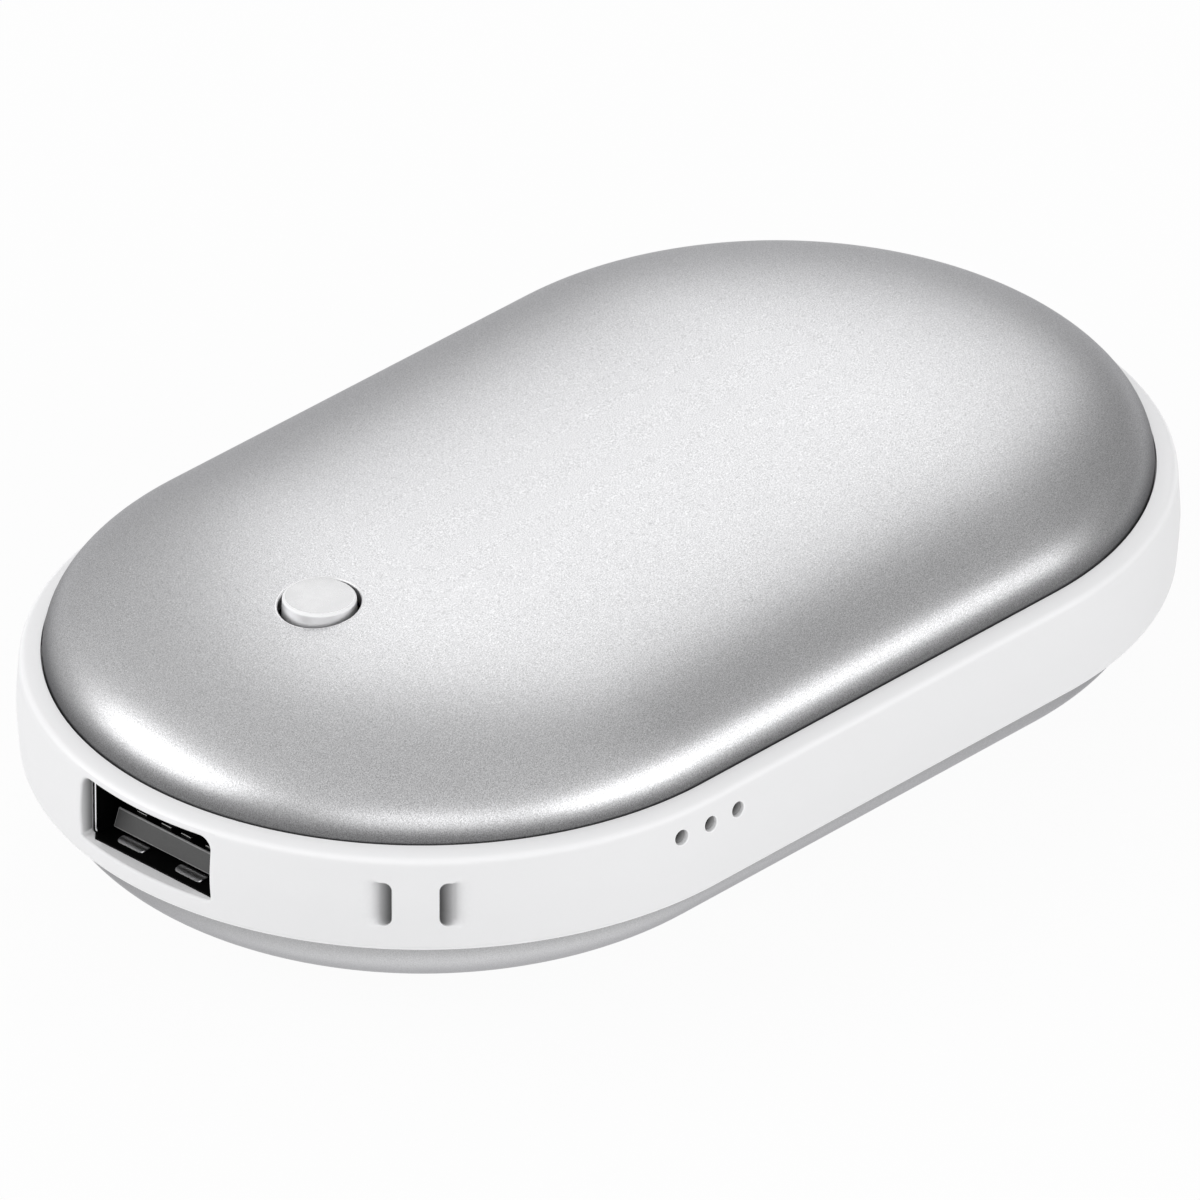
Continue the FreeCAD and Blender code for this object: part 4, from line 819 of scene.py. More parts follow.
def quarter_arc(centre, size):
    """Points of a rounded edge's quarter turn, from its top outwards and down."""
    turns = quarter_turn(RIM_STEPS)[::-1]
    return [(centre[0] + size * math.cos(a), centre[1] + size * math.sin(a)) for a in turns]


def ball_arc(radius, rise):
    """Points of a shallow ball's section, from its crown out to its rim."""
    ball = (radius ** 2 + rise ** 2) / (2 * rise)
    steps = [radius * k / BALL_STEPS for k in range(BALL_STEPS + 1)]
    return [(r, rise - ball + math.sqrt(ball ** 2 - r ** 2)) for r in steps]


def bar(skin, corners, lay, start, end, edge, front=0, rim=0):
    """A closed bar of a rounded section, with its end edges rounded; lay places (u, v, run).
    The front end's face and its rounded edge can have finishes of their own."""
    points, normals = outline_loop(corners, BAR_ACROSS, BAR_DOWN)
    sign = math.copysign(1, end - start)
    stops = [(-outset, start + sign * depth) for outset, depth in rounding(edge)]
    stops += [(outset, end - (run - start)) for outset, run in reversed(stops)]
    loops = [[lay(*uv, run) for uv in points + normals * outset] for outset, run in stops]
    first = skin.loop(loops[0])
    edged = skin.run(first, loops[1:ROUND_STEPS + 1], rim)
    last = skin.run(edged, loops[ROUND_STEPS + 1:])
    skin.face(first, front)
    skin.face(last)


# Finishes

METAL = {"metallic": 1.0}
# Brightening of the button's rounded edge into a painted highlight
BUTTON_EDGE_HIGHLIGHT = 1.15
# Brightening of the tongue's rim into a painted highlight
TONGUE_HIGHLIGHT_GAIN = 4.0
ROUGH_SPAN = 0.006
NOISE_RANGE = (0.3, 0.7)
NOISE_ROUGHNESS = 0.55
FINE_DETAIL = 3.0
GLOSS_PATCH = 22
LINE_EDGES = (0.45, 0.55)
LINE_DEPTH = 0.01 * MM
LINE_SCALE = 0.1
DUST = 0.8 * MM

# Plain finishes: colour or the name of its setting, spread of the colour, grain in mm, roughness, depth
# of the grain in mm, and other sockets. From clip_plastic on they have the names of the record's slots.
FINISHES = {
    "white_moulding": ("white", 0.002, 0.3, (0.42, 0.46), 0.0003, {"specular_ior_level": 0.35}),
    # The lip and shoulder finishes are brightened into painted highlights
    "white_lip": ("white", 0.002, 0.3, (0.3, 0.34), 0.0002, {}),
    "shoulder_white": ("white", 0.002, 0.3, (0.3, 0.34), 0.0002, {}),
    # The USB cut's finish carries painted light and shade
    "usb_cut_white": ("white", 0.002, 0.3, (0.4, 0.46), 0.0003, {}),
    # The passage's finish carries painted shade
    "passage_white": ("white", 0.01, 0.3, (0.4, 0.5), 0.0006, {}),
    "button_satin": ("button", 0.012, 0.05, (0.24, 0.3), 0.0004, METAL),
    # The button's edge is brightened into a painted highlight
    "button_edge": ("white", 0.01, 0.05, (0.32, 0.38), 0.0004, {}),
    "button_wall": ("wall", 0.01, 0.05, (0.3, 0.36), 0.0004, {"metallic": 0.8}),
    "hole_rim": ((0.96, 0.96, 0.965), 0.02, 0.04, (0.5, 0.58), 0.0004, METAL),
    # The socket's black is near-black painted shade
    "socket_black": ("socket_black", 0.25, 0.12, (0.5, 0.6), 0.001, {"specular_ior_level": 0.06}),
    "spring_nickel": ((0.88, 0.88, 0.89), 0.02, 0.08, (0.28, 0.34), 0.0001, METAL),
    "tongue_plastic": ("tongue", 0.1, 0.08, (0.32, 0.45), 0.0012, {}),
    # The tongue's rim is brightened into a painted highlight
    "tongue_rim": ("tongue", 0.15, 0.08, (0.3, 0.4), 0.0012, {}),
    "contact_gold": ("contact", 0.06, 0.06, (0.2, 0.3), 0.001, METAL),
    # The light windows carry painted shade
    "light_milk": ("light", 0.03, 0.15, (0.3, 0.4), 0.001, {"specular_ior_level": 0.3}),
    "snap_steel": ((0.60, 0.60, 0.61), 0.05, 0.05, (0.2, 0.3), 0.001, METAL),
    "clip_plastic": ((0.02, 0.02, 0.022), 0.2, 0.25, (0.5, 0.62), 0.004, {}),
    "guide_plastic": ((0.72, 0.72, 0.70), 0.04, 0.3, (0.42, 0.52), 0.003, {}),
    "screw_steel": ((0.56, 0.56, 0.58), 0.1, 0.12, (0.28, 0.42), 0.003, METAL),
    "socket_steel": ((0.62, 0.62, 0.63), 0.06, 0.1, (0.25, 0.38), 0.0015, METAL),
    "switch_plastic": ((0.02, 0.02, 0.02), 0.2, 0.2, (0.45, 0.58), 0.003, {}),
    "ferrite": ((0.05, 0.05, 0.055), 0.35, 0.18, (0.55, 0.75), 0.012, {}),
    "chip_resin": ((0.018, 0.018, 0.018), 0.3, 0.12, (0.5, 0.65), 0.004, {}),
    "capacitor_ceramic": ((0.36, 0.24, 0.14), 0.14, 0.15, (0.25, 0.4), 0.002, {}),
    "cell_wrap": ((0.03, 0.12, 0.36), 0.08, 0.6, (0.18, 0.28), 0.003, {}),
    "nickel": ((0.60, 0.57, 0.52), 0.07, 0.2, (0.25, 0.4), 0.002, METAL),
    "tray_plastic": ((0.66, 0.66, 0.64), 0.05, 0.4, (0.45, 0.58), 0.004, {}),
    "pad_foam": ((0.03, 0.03, 0.032), 0.5, 0.35, (0.8, 0.95), 0.08, {}),
    "sensor_bead": ((0.30, 0.10, 0.03), 0.15, 0.3, (0.12, 0.22), 0.003, {}),
    "battery_wire": ((0.36, 0.012, 0.012), 0.12, 0.3, (0.4, 0.55), 0.004, {}),
    "heater_wire": ((0.72, 0.72, 0.68), 0.06, 0.3, (0.4, 0.55), 0.004, {}),
    "sensor_wire": ((0.015, 0.015, 0.015), 0.2, 0.3, (0.4, 0.55), 0.004, {}),
    "led_body": ((0.80, 0.74, 0.46), 0.05, 0.2, (0.2, 0.32), 0.002, {}),
}

# Lacquered sheets: colour, colour of the buried lines, their width in mm and turn, roughness
SHEETS = {
    "board_laminate": ((0.01, 0.07, 0.03), (0.015, 0.11, 0.045), 0.9, 0.78, (0.22, 0.36)),
    "heater_film": ((0.42, 0.17, 0.025), (0.22, 0.08, 0.015), 1.6, 0.0, (0.16, 0.28)),
}


def add_node(tree, kind, settings=None, **values):
    node = tree.nodes.new(kind)
    for key, value in (settings or {}).items():
        setattr(node, key, value)
    for key, value in values.items():
        node.inputs[key].default_value = value
    return node


def feed(tree, socket, value):
    """Sets a socket, or links it where the value is another socket."""
    if isinstance(value, bpy.types.NodeSocket):
        tree.links.new(value, socket)
    else:
        socket.default_value = value


def maths(tree, operation, *values):
    """Result of a math node on sockets and plain numbers."""
    node = add_node(tree, "ShaderNodeMath", {"operation": operation})
    for socket, value in zip(node.inputs, values):
        feed(tree, socket, value)
    return node.outputs["Value"]


def along(tree, place, direction):
    """How far a place lies along a direction."""
    node = add_node(tree, "ShaderNodeVectorMath", {"operation": "DOT_PRODUCT"})
    feed(tree, node.inputs[0], place)
    feed(tree, node.inputs[1], direction)
    return node.outputs["Value"]


def on_object(tree):
    return add_node(tree, "ShaderNodeTexCoord").outputs["Object"]


def offset_along(tree, direction, origin):
    """How far a place on the object is from an origin, along a direction."""
    start = Vector(origin).dot(Vector(direction))
    return maths(tree, "SUBTRACT", along(tree, on_object(tree), direction), start)


def from_middle(tree):
    """Height over or under the ring's middle."""
    return maths(tree, "ABSOLUTE", offset_along(tree, UP, (0, 0, MIDDLE)))


def mix_colours(tree, factor, low, high, blend="MIX"):
    """A colour between two by a factor, each a socket or plain."""
    node = add_node(tree, "ShaderNodeMix", {"data_type": "RGBA", "blend_type": blend})
    feed(tree, node.inputs[0], factor)
    for socket, value in zip((s for s in node.inputs if s.type == "RGBA"), (low, high)):
        feed(tree, socket, value)
    return next(s for s in node.outputs if s.type == "RGBA")


def map_range(tree, socket, low, high, new_low, new_high, smooth=False):
    node = add_node(tree, "ShaderNodeMapRange")
    node.interpolation_type = "SMOOTHSTEP" if smooth else "LINEAR"
    names = ("Value", "From Min", "From Max", "To Min", "To Max")
    for name, value in zip(names, (socket, low, high, new_low, new_high)):
        feed(tree, node.inputs[name], value)
    return node.outputs["Result"]


def noise(tree, size, detail=2.0):
    """Object-space noise whose spots are about one size across."""
    texture = add_node(tree, "ShaderNodeTexNoise", Scale=1 / size, Detail=detail,
                       Roughness=NOISE_ROUGHNESS)
    tree.links.new(on_object(tree), texture.inputs["Vector"])
    return texture.outputs["Fac"]


def shade(base, factor=1.0):
    """An opaque colour, made brighter or darker by a factor."""
    return (*(min(1.0, c * factor) for c in base[:3]), 1.0)


def new_finish(name, **sockets):
    """A material whose even values sit on the shader's own sockets."""
    material = bpy.data.materials.new(name)
    material.use_nodes = True
    shader = material.node_tree.nodes["Principled BSDF"]
    for key, value in sockets.items():
        shader.inputs[key.replace("_", " ").title().replace("Ior", "IOR")].default_value = value
    return material, material.node_tree, shader


def add_bump(tree, shader, height, depth):
    node = add_node(tree, "ShaderNodeBump", Strength=1.0, Distance=depth)
    tree.links.new(height, node.inputs["Height"])
    tree.links.new(node.outputs["Normal"], shader.inputs["Normal"])


def grained(name, colour, spread, grain, rough, bump, **sockets):
    """A finish with grain: colour spots, a range of roughness and a bump of one depth."""
    material, tree, shader = new_finish(name, **sockets)
    spots = noise(tree, grain, FINE_DETAIL)
    wide = noise(tree, grain * GLOSS_PATCH)
    even = map_range(tree, spots, *NOISE_RANGE, 0.0, 1.0)
    spotted = mix_colours(tree, even, shade(colour, 1 - spread), shade(colour, 1 + spread))
    tree.links.new(spotted, shader.inputs["Base Color"])
    tree.links.new(map_range(tree, wide, *NOISE_RANGE, *rough), shader.inputs["Roughness"])
    add_bump(tree, shader, spots, bump)
    return material


def finish(name, look=None, factor=1.0):
    """A plain finish from the table, its colour made brighter by a factor."""
    colour, spread, grain, rough, bump, sockets = FINISHES[name]
    base = getattr(look, colour) if isinstance(colour, str) else colour
    return grained(name, shade(base, factor), spread, grain * MM, rough, bump * MM, **sockets)


def dim_colour(material, factor):
    """Multiplies a finish's colour by a factor socket."""
    tree = material.node_tree
    base = tree.nodes["Principled BSDF"].inputs["Base Color"]
    tree.links.new(mix_colours(tree, 1.0, base.links[0].from_socket, factor, "MULTIPLY"), base)
    return material


def blasted_aluminium(name, look, spread, seam_painted_shade):
    """Bead-blasted aluminium, darkened by painted shade where a shell turns into the seam, over a
    wider band at two opposite corners."""
    rough = look.aluminium_roughness
    material = grained(name, look.aluminium, spread, look.aluminium_grain,
                       (rough - ROUGH_SPAN, rough + ROUGH_SPAN), look.aluminium_bump,
                       metallic=1.0, specular_tint=shade(look.aluminium_tint))
    tree = material.node_tree
    rise = maths(tree, "SUBTRACT", from_middle(tree), SEAM)
    across = offset_along(tree, (math.cos(SEAM_SHADE_TURN), math.sin(SEAM_SHADE_TURN), 0), (0, 0, 0))
    corner = maths(tree, "ABSOLUTE", across)
    squeeze = map_range(tree, corner, SEAM_SHADE_NEAR, SEAM_SHADE_FAR, SEAM_SHADE_STEEP, SEAM_SHADE_SQUEEZE)
    height = maths(tree, "MULTIPLY", rise, squeeze)
    edge = map_range(tree, height, look.seam_shade_start, look.seam_shade_height, seam_painted_shade, 1.0, True)
    return dim_colour(material, edge)


def shoulder_white(look):
    """Painted highlight along the middle of the moulding's shoulder, and painted light on the band above.
    """
    material = finish("shoulder_white", look)
    tree = material.node_tree
    rise = from_middle(tree)
    peak = SHOULDER_CENTRE.y + SHOULDER_RADIUS * math.sin(math.pi / 4)
    start = SHOULDER_START.y + (peak - SHOULDER_START.y) / 3
    below = map_range(tree, rise, start, peak, 1.0, look.shoulder, True)
    above = map_range(tree, rise, peak, SHOULDER_END.y, look.shoulder, look.band, True)
    return dim_colour(material, maths(tree, "MINIMUM", below, above))


def usb_cut_white(look):
    """The moulding inside the USB opening: its floor brightened by painted light, and its sides greyed
    by painted shade towards the socket.
    """
    material = finish("usb_cut_white", look)
    tree = material.node_tree
    outside = -HALF_STRAIGHT - math.sqrt(END_RADIUS ** 2 - USB_CUT_HALF ** 2)
    depth = offset_along(tree, (1, 0, 0), (outside, 0, 0))
    deep = USB_LOW.x - outside
    side = map_range(tree, depth, deep / 4, deep, 1.0, look.cut_shade)
    rise = offset_along(tree, UP, (0, 0, MIDDLE + USB_CUT_LOW))
    return dim_colour(material, map_range(tree, rise, USB_CUT_FOOT / 2, USB_CUT_FOOT, look.shoulder, side))


def passage_white(look):
    """The moulding inside the lanyard's passage, greyed by painted shade with depth behind the bar."""
    material = finish("passage_white", look)
    tree = material.node_tree
    side = (-math.sin(LANYARD_ANGLE), math.cos(LANYARD_ANGLE), 0)
    apart = maths(tree, "ABSOLUTE", offset_along(tree, side, (*NEAR_CENTRE, 0)))
    start = LANYARD_BAR / 2
    end = start + LANYARD_WIDE * LANYARD_SHADE_SPAN
    return dim_colour(material, map_range(tree, apart, start, end, look.passage, 1.0))


def button_wall(look):
    """The button's turned wall, mostly bare metal, with the shells' tint at grazing angles."""
    material = finish("button_wall", look)
    shader = material.node_tree.nodes["Principled BSDF"]
    shader.inputs["Specular Tint"].default_value = shade(look.aluminium_tint)
    return material


def light_milk(look):
    """Milky moulding, with painted shade darkening the upper edge of each window."""
    material = finish("light_milk", look)
    tree = material.node_tree
    across = offset_along(tree, (1, 0, 0), (LIGHT_X, 0, 0))
    window = maths(tree, "WRAP", across, LIGHT_PITCH / 2, -LIGHT_PITCH / 2)
    lean = maths(tree, "SUBTRACT", window, offset_along(tree, UP, (0, 0, MIDDLE + LIGHT_HEIGHT)))
    return dim_colour(material, map_range(tree, lean, -PRONG_RADIUS, PRONG_RADIUS, look.window_painted_shade, 1.0))


def striped(name, colour, line, width, turn, rough):
    """A lacquered sheet with a buried pattern of lines, and faint dust in its gloss."""
    material, tree, shader = new_finish(name)
    mapping = add_node(tree, "ShaderNodeMapping", Rotation=(0, 0, turn))
    tree.links.new(on_object(tree), mapping.inputs["Vector"])
    wave = add_node(tree, "ShaderNodeTexWave", {"wave_type": "BANDS", "bands_direction": "X"},
                    Scale=LINE_SCALE / (width * MM), Distortion=0.0)
    tree.links.new(mapping.outputs["Vector"], wave.inputs["Vector"])
    bands = map_range(tree, wave.outputs["Fac"], *LINE_EDGES, 0.0, 1.0)
    tree.links.new(mix_colours(tree, bands, shade(colour), shade(line)), shader.inputs["Base Color"])
    tree.links.new(map_range(tree, noise(tree, DUST), *NOISE_RANGE, *rough), shader.inputs["Roughness"])
    add_bump(tree, shader, bands, LINE_DEPTH)
    return material


# Settings

def length(name, description, default):
    return FloatProperty(name=name, description=description, default=default, min=0.0, unit="LENGTH",
                         precision=5)


def share(name, description, default):
    return FloatProperty(name=name, description=description, default=default, min=0.0, max=1.0,
                         subtype="FACTOR")


def colour(name, description, default):
    return FloatVectorProperty(name=name, description=description, default=default, size=3, min=0.0,
                               max=1.0, subtype="COLOR")


def times(name, description, default):
    return FloatProperty(name=name, description=description, default=default, min=1.0)


def angle(name, description, degrees):
    return FloatProperty(name=name, description=description, default=math.radians(degrees),
                         subtype="ANGLE")


def lamp(side, default):
    return FloatProperty(name=f"{side.title()} lamp", default=default,
                         description=f"Brightness of the {side} lamp")


class WarmerSizes(bpy.types.PropertyGroup):
    """Sizes of the details that the solids leave plain."""
    dome_power: FloatProperty(name="Dome fullness", default=2.1, min=1.8, max=3.0,
                              description="Power of the shells' curve, where 2 is an ellipse")
    opening_round: length("Opening edge", "Rounding of the lights', slots' and inlet's edges", 0.08 * MM)
    usb_round: length("USB edge", "Rounding of the USB opening's edge", 0.25 * MM)
    lip_round: length("Lip edge", "Rounding of the ring's and shells' edges at the seam", 0.12 * MM)
    hole_bevel: length("Hole edge", "Bright cut edge round the button", 0.16 * MM)
    opening_margin: length("Opening margin", "Room in the mesh round each opening", 0.45 * MM)
    opening_step: length("Opening step", "Mesh step along an opening", 0.35 * MM)
    cap_edge: length("Button edge", "Rounding of the button's top edge", 0.22 * MM)
    cap_crown: length("Button crown", "How far the button's top bulges", 0.12 * MM)


class WarmerLook(bpy.types.PropertyGroup):
    """Colours and finishes of the visible pieces."""
    aluminium: colour("Aluminium", "Colour of the blasted metal shells", (0.65, 0.65, 0.66))
    aluminium_tint: colour("Aluminium edge tint", "Tint of the metal at grazing angles", (0.48, 0.48, 0.49))
    aluminium_spread: share("Aluminium spots", "How much the blasted grain varies in colour", 0.37)
    base_spread: share("Base spots", "The same on the bottom shell", 0.16)
    aluminium_roughness: share("Aluminium roughness", "Roughness of the blasted metal", 0.36)
    aluminium_grain: length("Blasted grain", "Size of the blasted grain", 0.085 * MM)
    aluminium_bump: length("Blasted depth", "Depth of the blasted grain", 0.0025 * MM)
    # Painted shade darkening the metal near the seam
    seam_painted_shade: share("Edge shade", "Colour left on the metal where it turns into the seam", 0.3)
    base_seam_painted_shade: share("Base edge shade", "The same on the bottom shell", 0.65)
    seam_shade_start: length("Edge shade start", "Height over the seam where the shade is full", 0.35 * MM)
    seam_shade_height: length("Edge shade height", "Height over the seam where the shade ends", 2.6 * MM)
    white: colour("White", "Colour of the middle ring", (0.82, 0.82, 0.828))
    button: colour("Button", "Colour of the button's metal", (0.54, 0.54, 0.545))
    # Painted highlight on the ring's shoulder and edges and on the USB cut's floor; painted light on the
    # band
    shoulder: times("Shoulder line", "How much brighter the ring's shoulder and edges are", 1.15)
    band: times("Band", "How much brighter the band between shoulder and seam is", 1.14)
    # Painted shade on the USB opening's sides
    cut_shade: share("USB cut shade", "Colour left on the USB opening's sides, at the socket", 0.2)
    wall: colour("Button wall", "Colour of the button's wall", (0.9, 0.9, 0.905))
    # Near-black painted shade inside the USB socket
    socket_black: colour("Socket black", "Colour inside the USB socket", (0.0015, 0.0015, 0.0015))
    tongue: colour("Tongue", "Colour of the tongue in the USB socket", (0.06, 0.06, 0.06))
    contact: colour("Contacts", "Colour of the plated contacts", (0.46, 0.46, 0.45))
    light: colour("Lights", "Colour of the milky light windows", (0.28, 0.28, 0.28))
    # Painted shade at the upper edge of each light window
    window_painted_shade: share("Light shade", "Colour left at the upper edge of each light window", 0.06)
    # Painted shade in the lanyard's passage
    passage: share("Passage shade", "Colour left behind the lanyard's bar", 0.28)


class WarmerStage(bpy.types.PropertyGroup):
    """Floor, light and camera."""
    floor: colour("Floor", "Colour of the floor", (0.88, 0.88, 0.88))
    floor_white: share("Floor white", "Share of the floor seen as plain white", 0.93)
    room: share("Room light", "Brightness of the even light all round", 0.65)
    room_corner: share("Room corner", "Brightness of the room's unlit corner, behind on the right", 0.34)
    back_lamp: lamp("back", 0.95)
    left_lamp: lamp("left", 2.05)
    right_lamp: lamp("right", 1.88)
    front_lamp: lamp("front", 0.9)
    azimuth: angle("Azimuth", "Where the camera stands round the warmer, from the near side", -46.278)
    elevation: angle("Elevation", "How high the camera stands", 30.697)
    roll: angle("Roll", "How far the camera is turned about its view", 0.088)
    distance: length("Distance", "From the camera to the point it looks at", 1.7239)
    target: FloatVectorProperty(name="Target", default=(0.000288, 0.000514, 0.01294), subtype="TRANSLATION",
                                unit="LENGTH", description="The point that the camera looks at")
    lens: FloatProperty(name="Lens", default=697.6, unit="CAMERA", description="Focal length")


# Operators

class WARMER_OT_ring(bpy.types.Operator):
    """Build the white middle ring with its openings"""
    bl_idname = "warmer.ring"
    bl_label = "Middle ring"

    def execute(self, context):
        skin = build_ring(context.scene.warmer_sizes)
        look = context.scene.warmer_look
        # The brightened lip is a painted highlight
        lip = finish("white_lip", look, look.shoulder)
        finishes = [finish("white_moulding", look), lip, passage_white(look), shoulder_white(look),
                    usb_cut_white(look)]
        ring = skin.build("ring_moulding", finishes, SHARP)
        place(ring, "case", "frame_plastic", "middle_frame")
        return {"FINISHED"}


class WARMER_OT_shells(bpy.types.Operator):
    """Build the two blasted metal shells"""
    bl_idname = "warmer.shells"
    bl_label = "Metal shells"

    def execute(self, context):
        look = context.scene.warmer_look
        sizes = context.scene.warmer_sizes
        # Both shells carry painted shade near the seam
        blasted = blasted_aluminium("top_aluminium", look, look.aluminium_spread, look.seam_painted_shade)
        finishes = [blasted, finish("hole_rim")]
        shell = build_shell(sizes, 1, TOP_LOW.z, True).build("top_dome", finishes, SHARP)
        place(shell, "case", "shell_aluminium", "top_shell")
        finishes = [blasted_aluminium("base_aluminium", look, look.base_spread, look.base_seam_painted_shade)]
        shell = build_shell(sizes, -1, BASE_HIGH.z, False).build("base_dome", finishes, SHARP)
        place(shell, "case", "shell_aluminium", "bottom_shell")
        return {"FINISHED"}


class WARMER_OT_button(bpy.types.Operator):
    """Build the round push button with its flange and stem"""
    bl_idname = "warmer.button"
    bl_label = "Push button"

    def execute(self, context):
        sizes = context.scene.warmer_sizes
        edge = sizes.cap_edge
        crown = sizes.cap_crown
        top = CAP_HIGH.z
        flat = CAP_TOP_RADIUS - edge
        face = [(r, top - crown + height) for r, height in ball_arc(flat, crown)]
        rim = quarter_arc((flat, top - crown - edge), edge)
        flange_top = MIDDLE + SEAM - FLANGE_CLEARANCE + dome_rise(
            CAP_X - FLANGE_RADIUS, 0, SHELL_RADIUS - SHELL_WALL, SHELL_RISE - SHELL_WALL, sizes.dome_power)
        flange_low = flange_top - FLANGE_THICKNESS
        wall = [rim[-1], (CAP_RADIUS, flange_top)]
        skirt = [wall[-1], (FLANGE_RADIUS, flange_top), (FLANGE_RADIUS, flange_low),
                 (STEM_RADIUS, flange_low), (STEM_RADIUS, CAP_LOW.z), (0, CAP_LOW.z)]
        skin = Skin()
        for profile, side in ((face, CAP_FACE), (rim, CAP_HIGHLIGHT_EDGE), (wall, CAP_WALL), (skirt, CAP_FACE)):
            turned(skin, (CAP_X, 0, 0), UP, profile, TURNED_STEPS, side)
        look = context.scene.warmer_look
        # The button's rounded edge is brightened into a painted highlight
        edge_highlight = finish("button_edge", look, BUTTON_EDGE_HIGHLIGHT)
        finishes = [finish("button_satin", look), edge_highlight, button_wall(look)]
        cap = skin.build("button_key", finishes, SHARP)
        place(cap, "button", "button_metal", "button_cap")
        return {"FINISHED"}


class WARMER_OT_snap_disc(bpy.types.Operator):
    """Build the sprung disc under the button, in its unpressed dome"""
    bl_idname = "warmer.snap_disc"
    bl_label = "Snap disc"

    def execute(self, context):
        radius = DISC_HIGH.y
        rise = DISC_HIGH.z - DISC_LOW.z
        outside = ball_arc(radius, rise)
        inside = ball_arc(radius - DISC_SHEET, rise - DISC_SHEET)
        foot = (CAP_X, 0, DISC_LOW.z)
        skin = Skin()
        turned(skin, foot, UP, outside + inside[::-1], TURNED_STEPS)
        disc = skin.build("snap_disc", [finish("snap_steel")], SHARP)
        place(disc, "case", "socket_steel", "switch_snap_dome")
        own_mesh(disc)
        return {"FINISHED"}


class WARMER_OT_usb_socket(bpy.types.Operator):
    """Build the USB output socket: sheet, springs, tongue and contacts"""
    bl_idname = "warmer.usb_socket"
    bl_label = "USB socket"

    def execute(self, context):
        look = context.scene.warmer_look
        skin = Skin()
        middle = (USB_LOW.z + USB_HIGH.z) / 2
        half = USB_HIGH.y
        tall = (USB_HIGH.z - USB_LOW.z) / 2
        inner = box_corners(half - USB_SHEET, middle - tall + USB_SHEET, middle + tall - USB_SHEET,
                            USB_CORNER - USB_SHEET / 2)
        steps = SHEET_ACROSS, SHEET_DOWN
        outer = outline_loop(box_corners(half, middle - tall, middle + tall, USB_CORNER), *steps)[0]
        inside = outline_loop(inner, *steps)[0]
        back = USB_HIGH.x

        def ring(points, x):
            return [(x, -y, z) for y, z in points]

        mouth = outer + (inside - outer) * USB_RIM
        first = skin.loop(ring(outer, back))
        rim = skin.run(first, [ring(outer, USB_LOW.x + USB_RIM_ROUND), ring(mouth, USB_LOW.x)])
        within = skin.loop(ring(inside, USB_LOW.x + USB_RIM_ROUND))
        # The sheet's inside and most of its front edge are near-black painted shade; one side of the edge
        # is bare nickel
        for i in range(len(rim)):
            j = (i + 1) % len(rim)
            bare = i >= 2 * SHEET_ACROSS + SHEET_DOWN
            skin.face((rim[i], rim[j], within[j], within[i]), NICKEL if bare else SHADE_BLACK)
        last = skin.run(within, [ring(inside, back - USB_SHEET)])
        skin.face(first)
        skin.face(last)
        floor = middle - tall + USB_SHEET
        for side in (-SPRING_SIDE, SPRING_SIDE):
            leaf_spring(skin, side, floor)
        shade_lip(skin)
        # Near-black painted shade for the socket's inside, its lip and the tongue's sides
        black = finish("socket_black", look)
        sheet = skin.build("usb_sheet", [black, finish("spring_nickel")], SOCKET_SHARP)
        place(sheet, "case", "socket_steel", "usb_shell")

        skin = Skin()
        low = floor + TONGUE_CLEARANCE
        high = low + TONGUE_TALL
        front = TONGUE_LOW.x + TONGUE_INSET

        def leaning(u, v, run):
            fade = max(0.0, 1 - (run - front) / LEAN_FADE)
            return run + TONGUE_LEAN * fade * (v - low) / TONGUE_TALL, -u, v

        section = box_corners(TONGUE_HIGH.y, low, high, TONGUE_EDGE)
        bar(skin, section, leaning, front, TONGUE_HIGH.x, TONGUE_EDGE, TONGUE_FACE, TONGUE_HIGHLIGHT_RIM)
        # The tongue's rim is brightened into a painted highlight
        finishes = [black, finish("tongue_plastic", look), finish("tongue_rim", look, TONGUE_HIGHLIGHT_GAIN)]
        tongue = skin.build("usb_tongue_bar", finishes, SOCKET_SHARP)
        place(tongue, "case", "socket_plastic", "usb_tongue")

        skin = Skin()
        for side in CONTACT_SIDES:
            section = box_corners(CONTACT_WIDTH / 2, high, high + CONTACT_THICKNESS, CONTACT_EDGE, side)
            bar(skin, section, lambda u, v, run: (run, -u, v), TONGUE_LOW.x + CONTACT_INSET,
                CONTACT_HIGH.x, CONTACT_EDGE)
        finishes = [finish("contact_gold", look)]
        contacts = skin.build("usb_contact_strips", finishes, SOCKET_SHARP)
        place(contacts, "case", "contact_gold", "usb_contacts")
        return {"FINISHED"}


def leaf_spring(skin, side, floor):
    """One sprung leaf of the USB sheet, arched up from the floor with its corners rounded off."""
    loops = []
    for k in range(SPRING_STEPS + 1):
        along = k / SPRING_STEPS
        arch = SPRING_RISE * math.sin(math.pi * along)
        bulge = math.sqrt(1 - (2 * along - 1) ** 4)
        half = SPRING_WIDTH / 2 * (SPRING_NOSE + (1 - SPRING_NOSE) * bulge)
        x = USB_LOW.x + SPRING_LENGTH * along
        top = floor + arch
        low = floor + max(0.0, arch - SPRING_SHEET)
        edge = min(SPRING_SHEET, arch) / 2
        loops.append([(x, side - half, low), (x, side - half, top - edge), (x, side - half + edge, top),
                      (x, side + half - edge, top), (x, side + half, top - edge), (x, side + half, low)])
    skin.closed(loops, NICKEL)


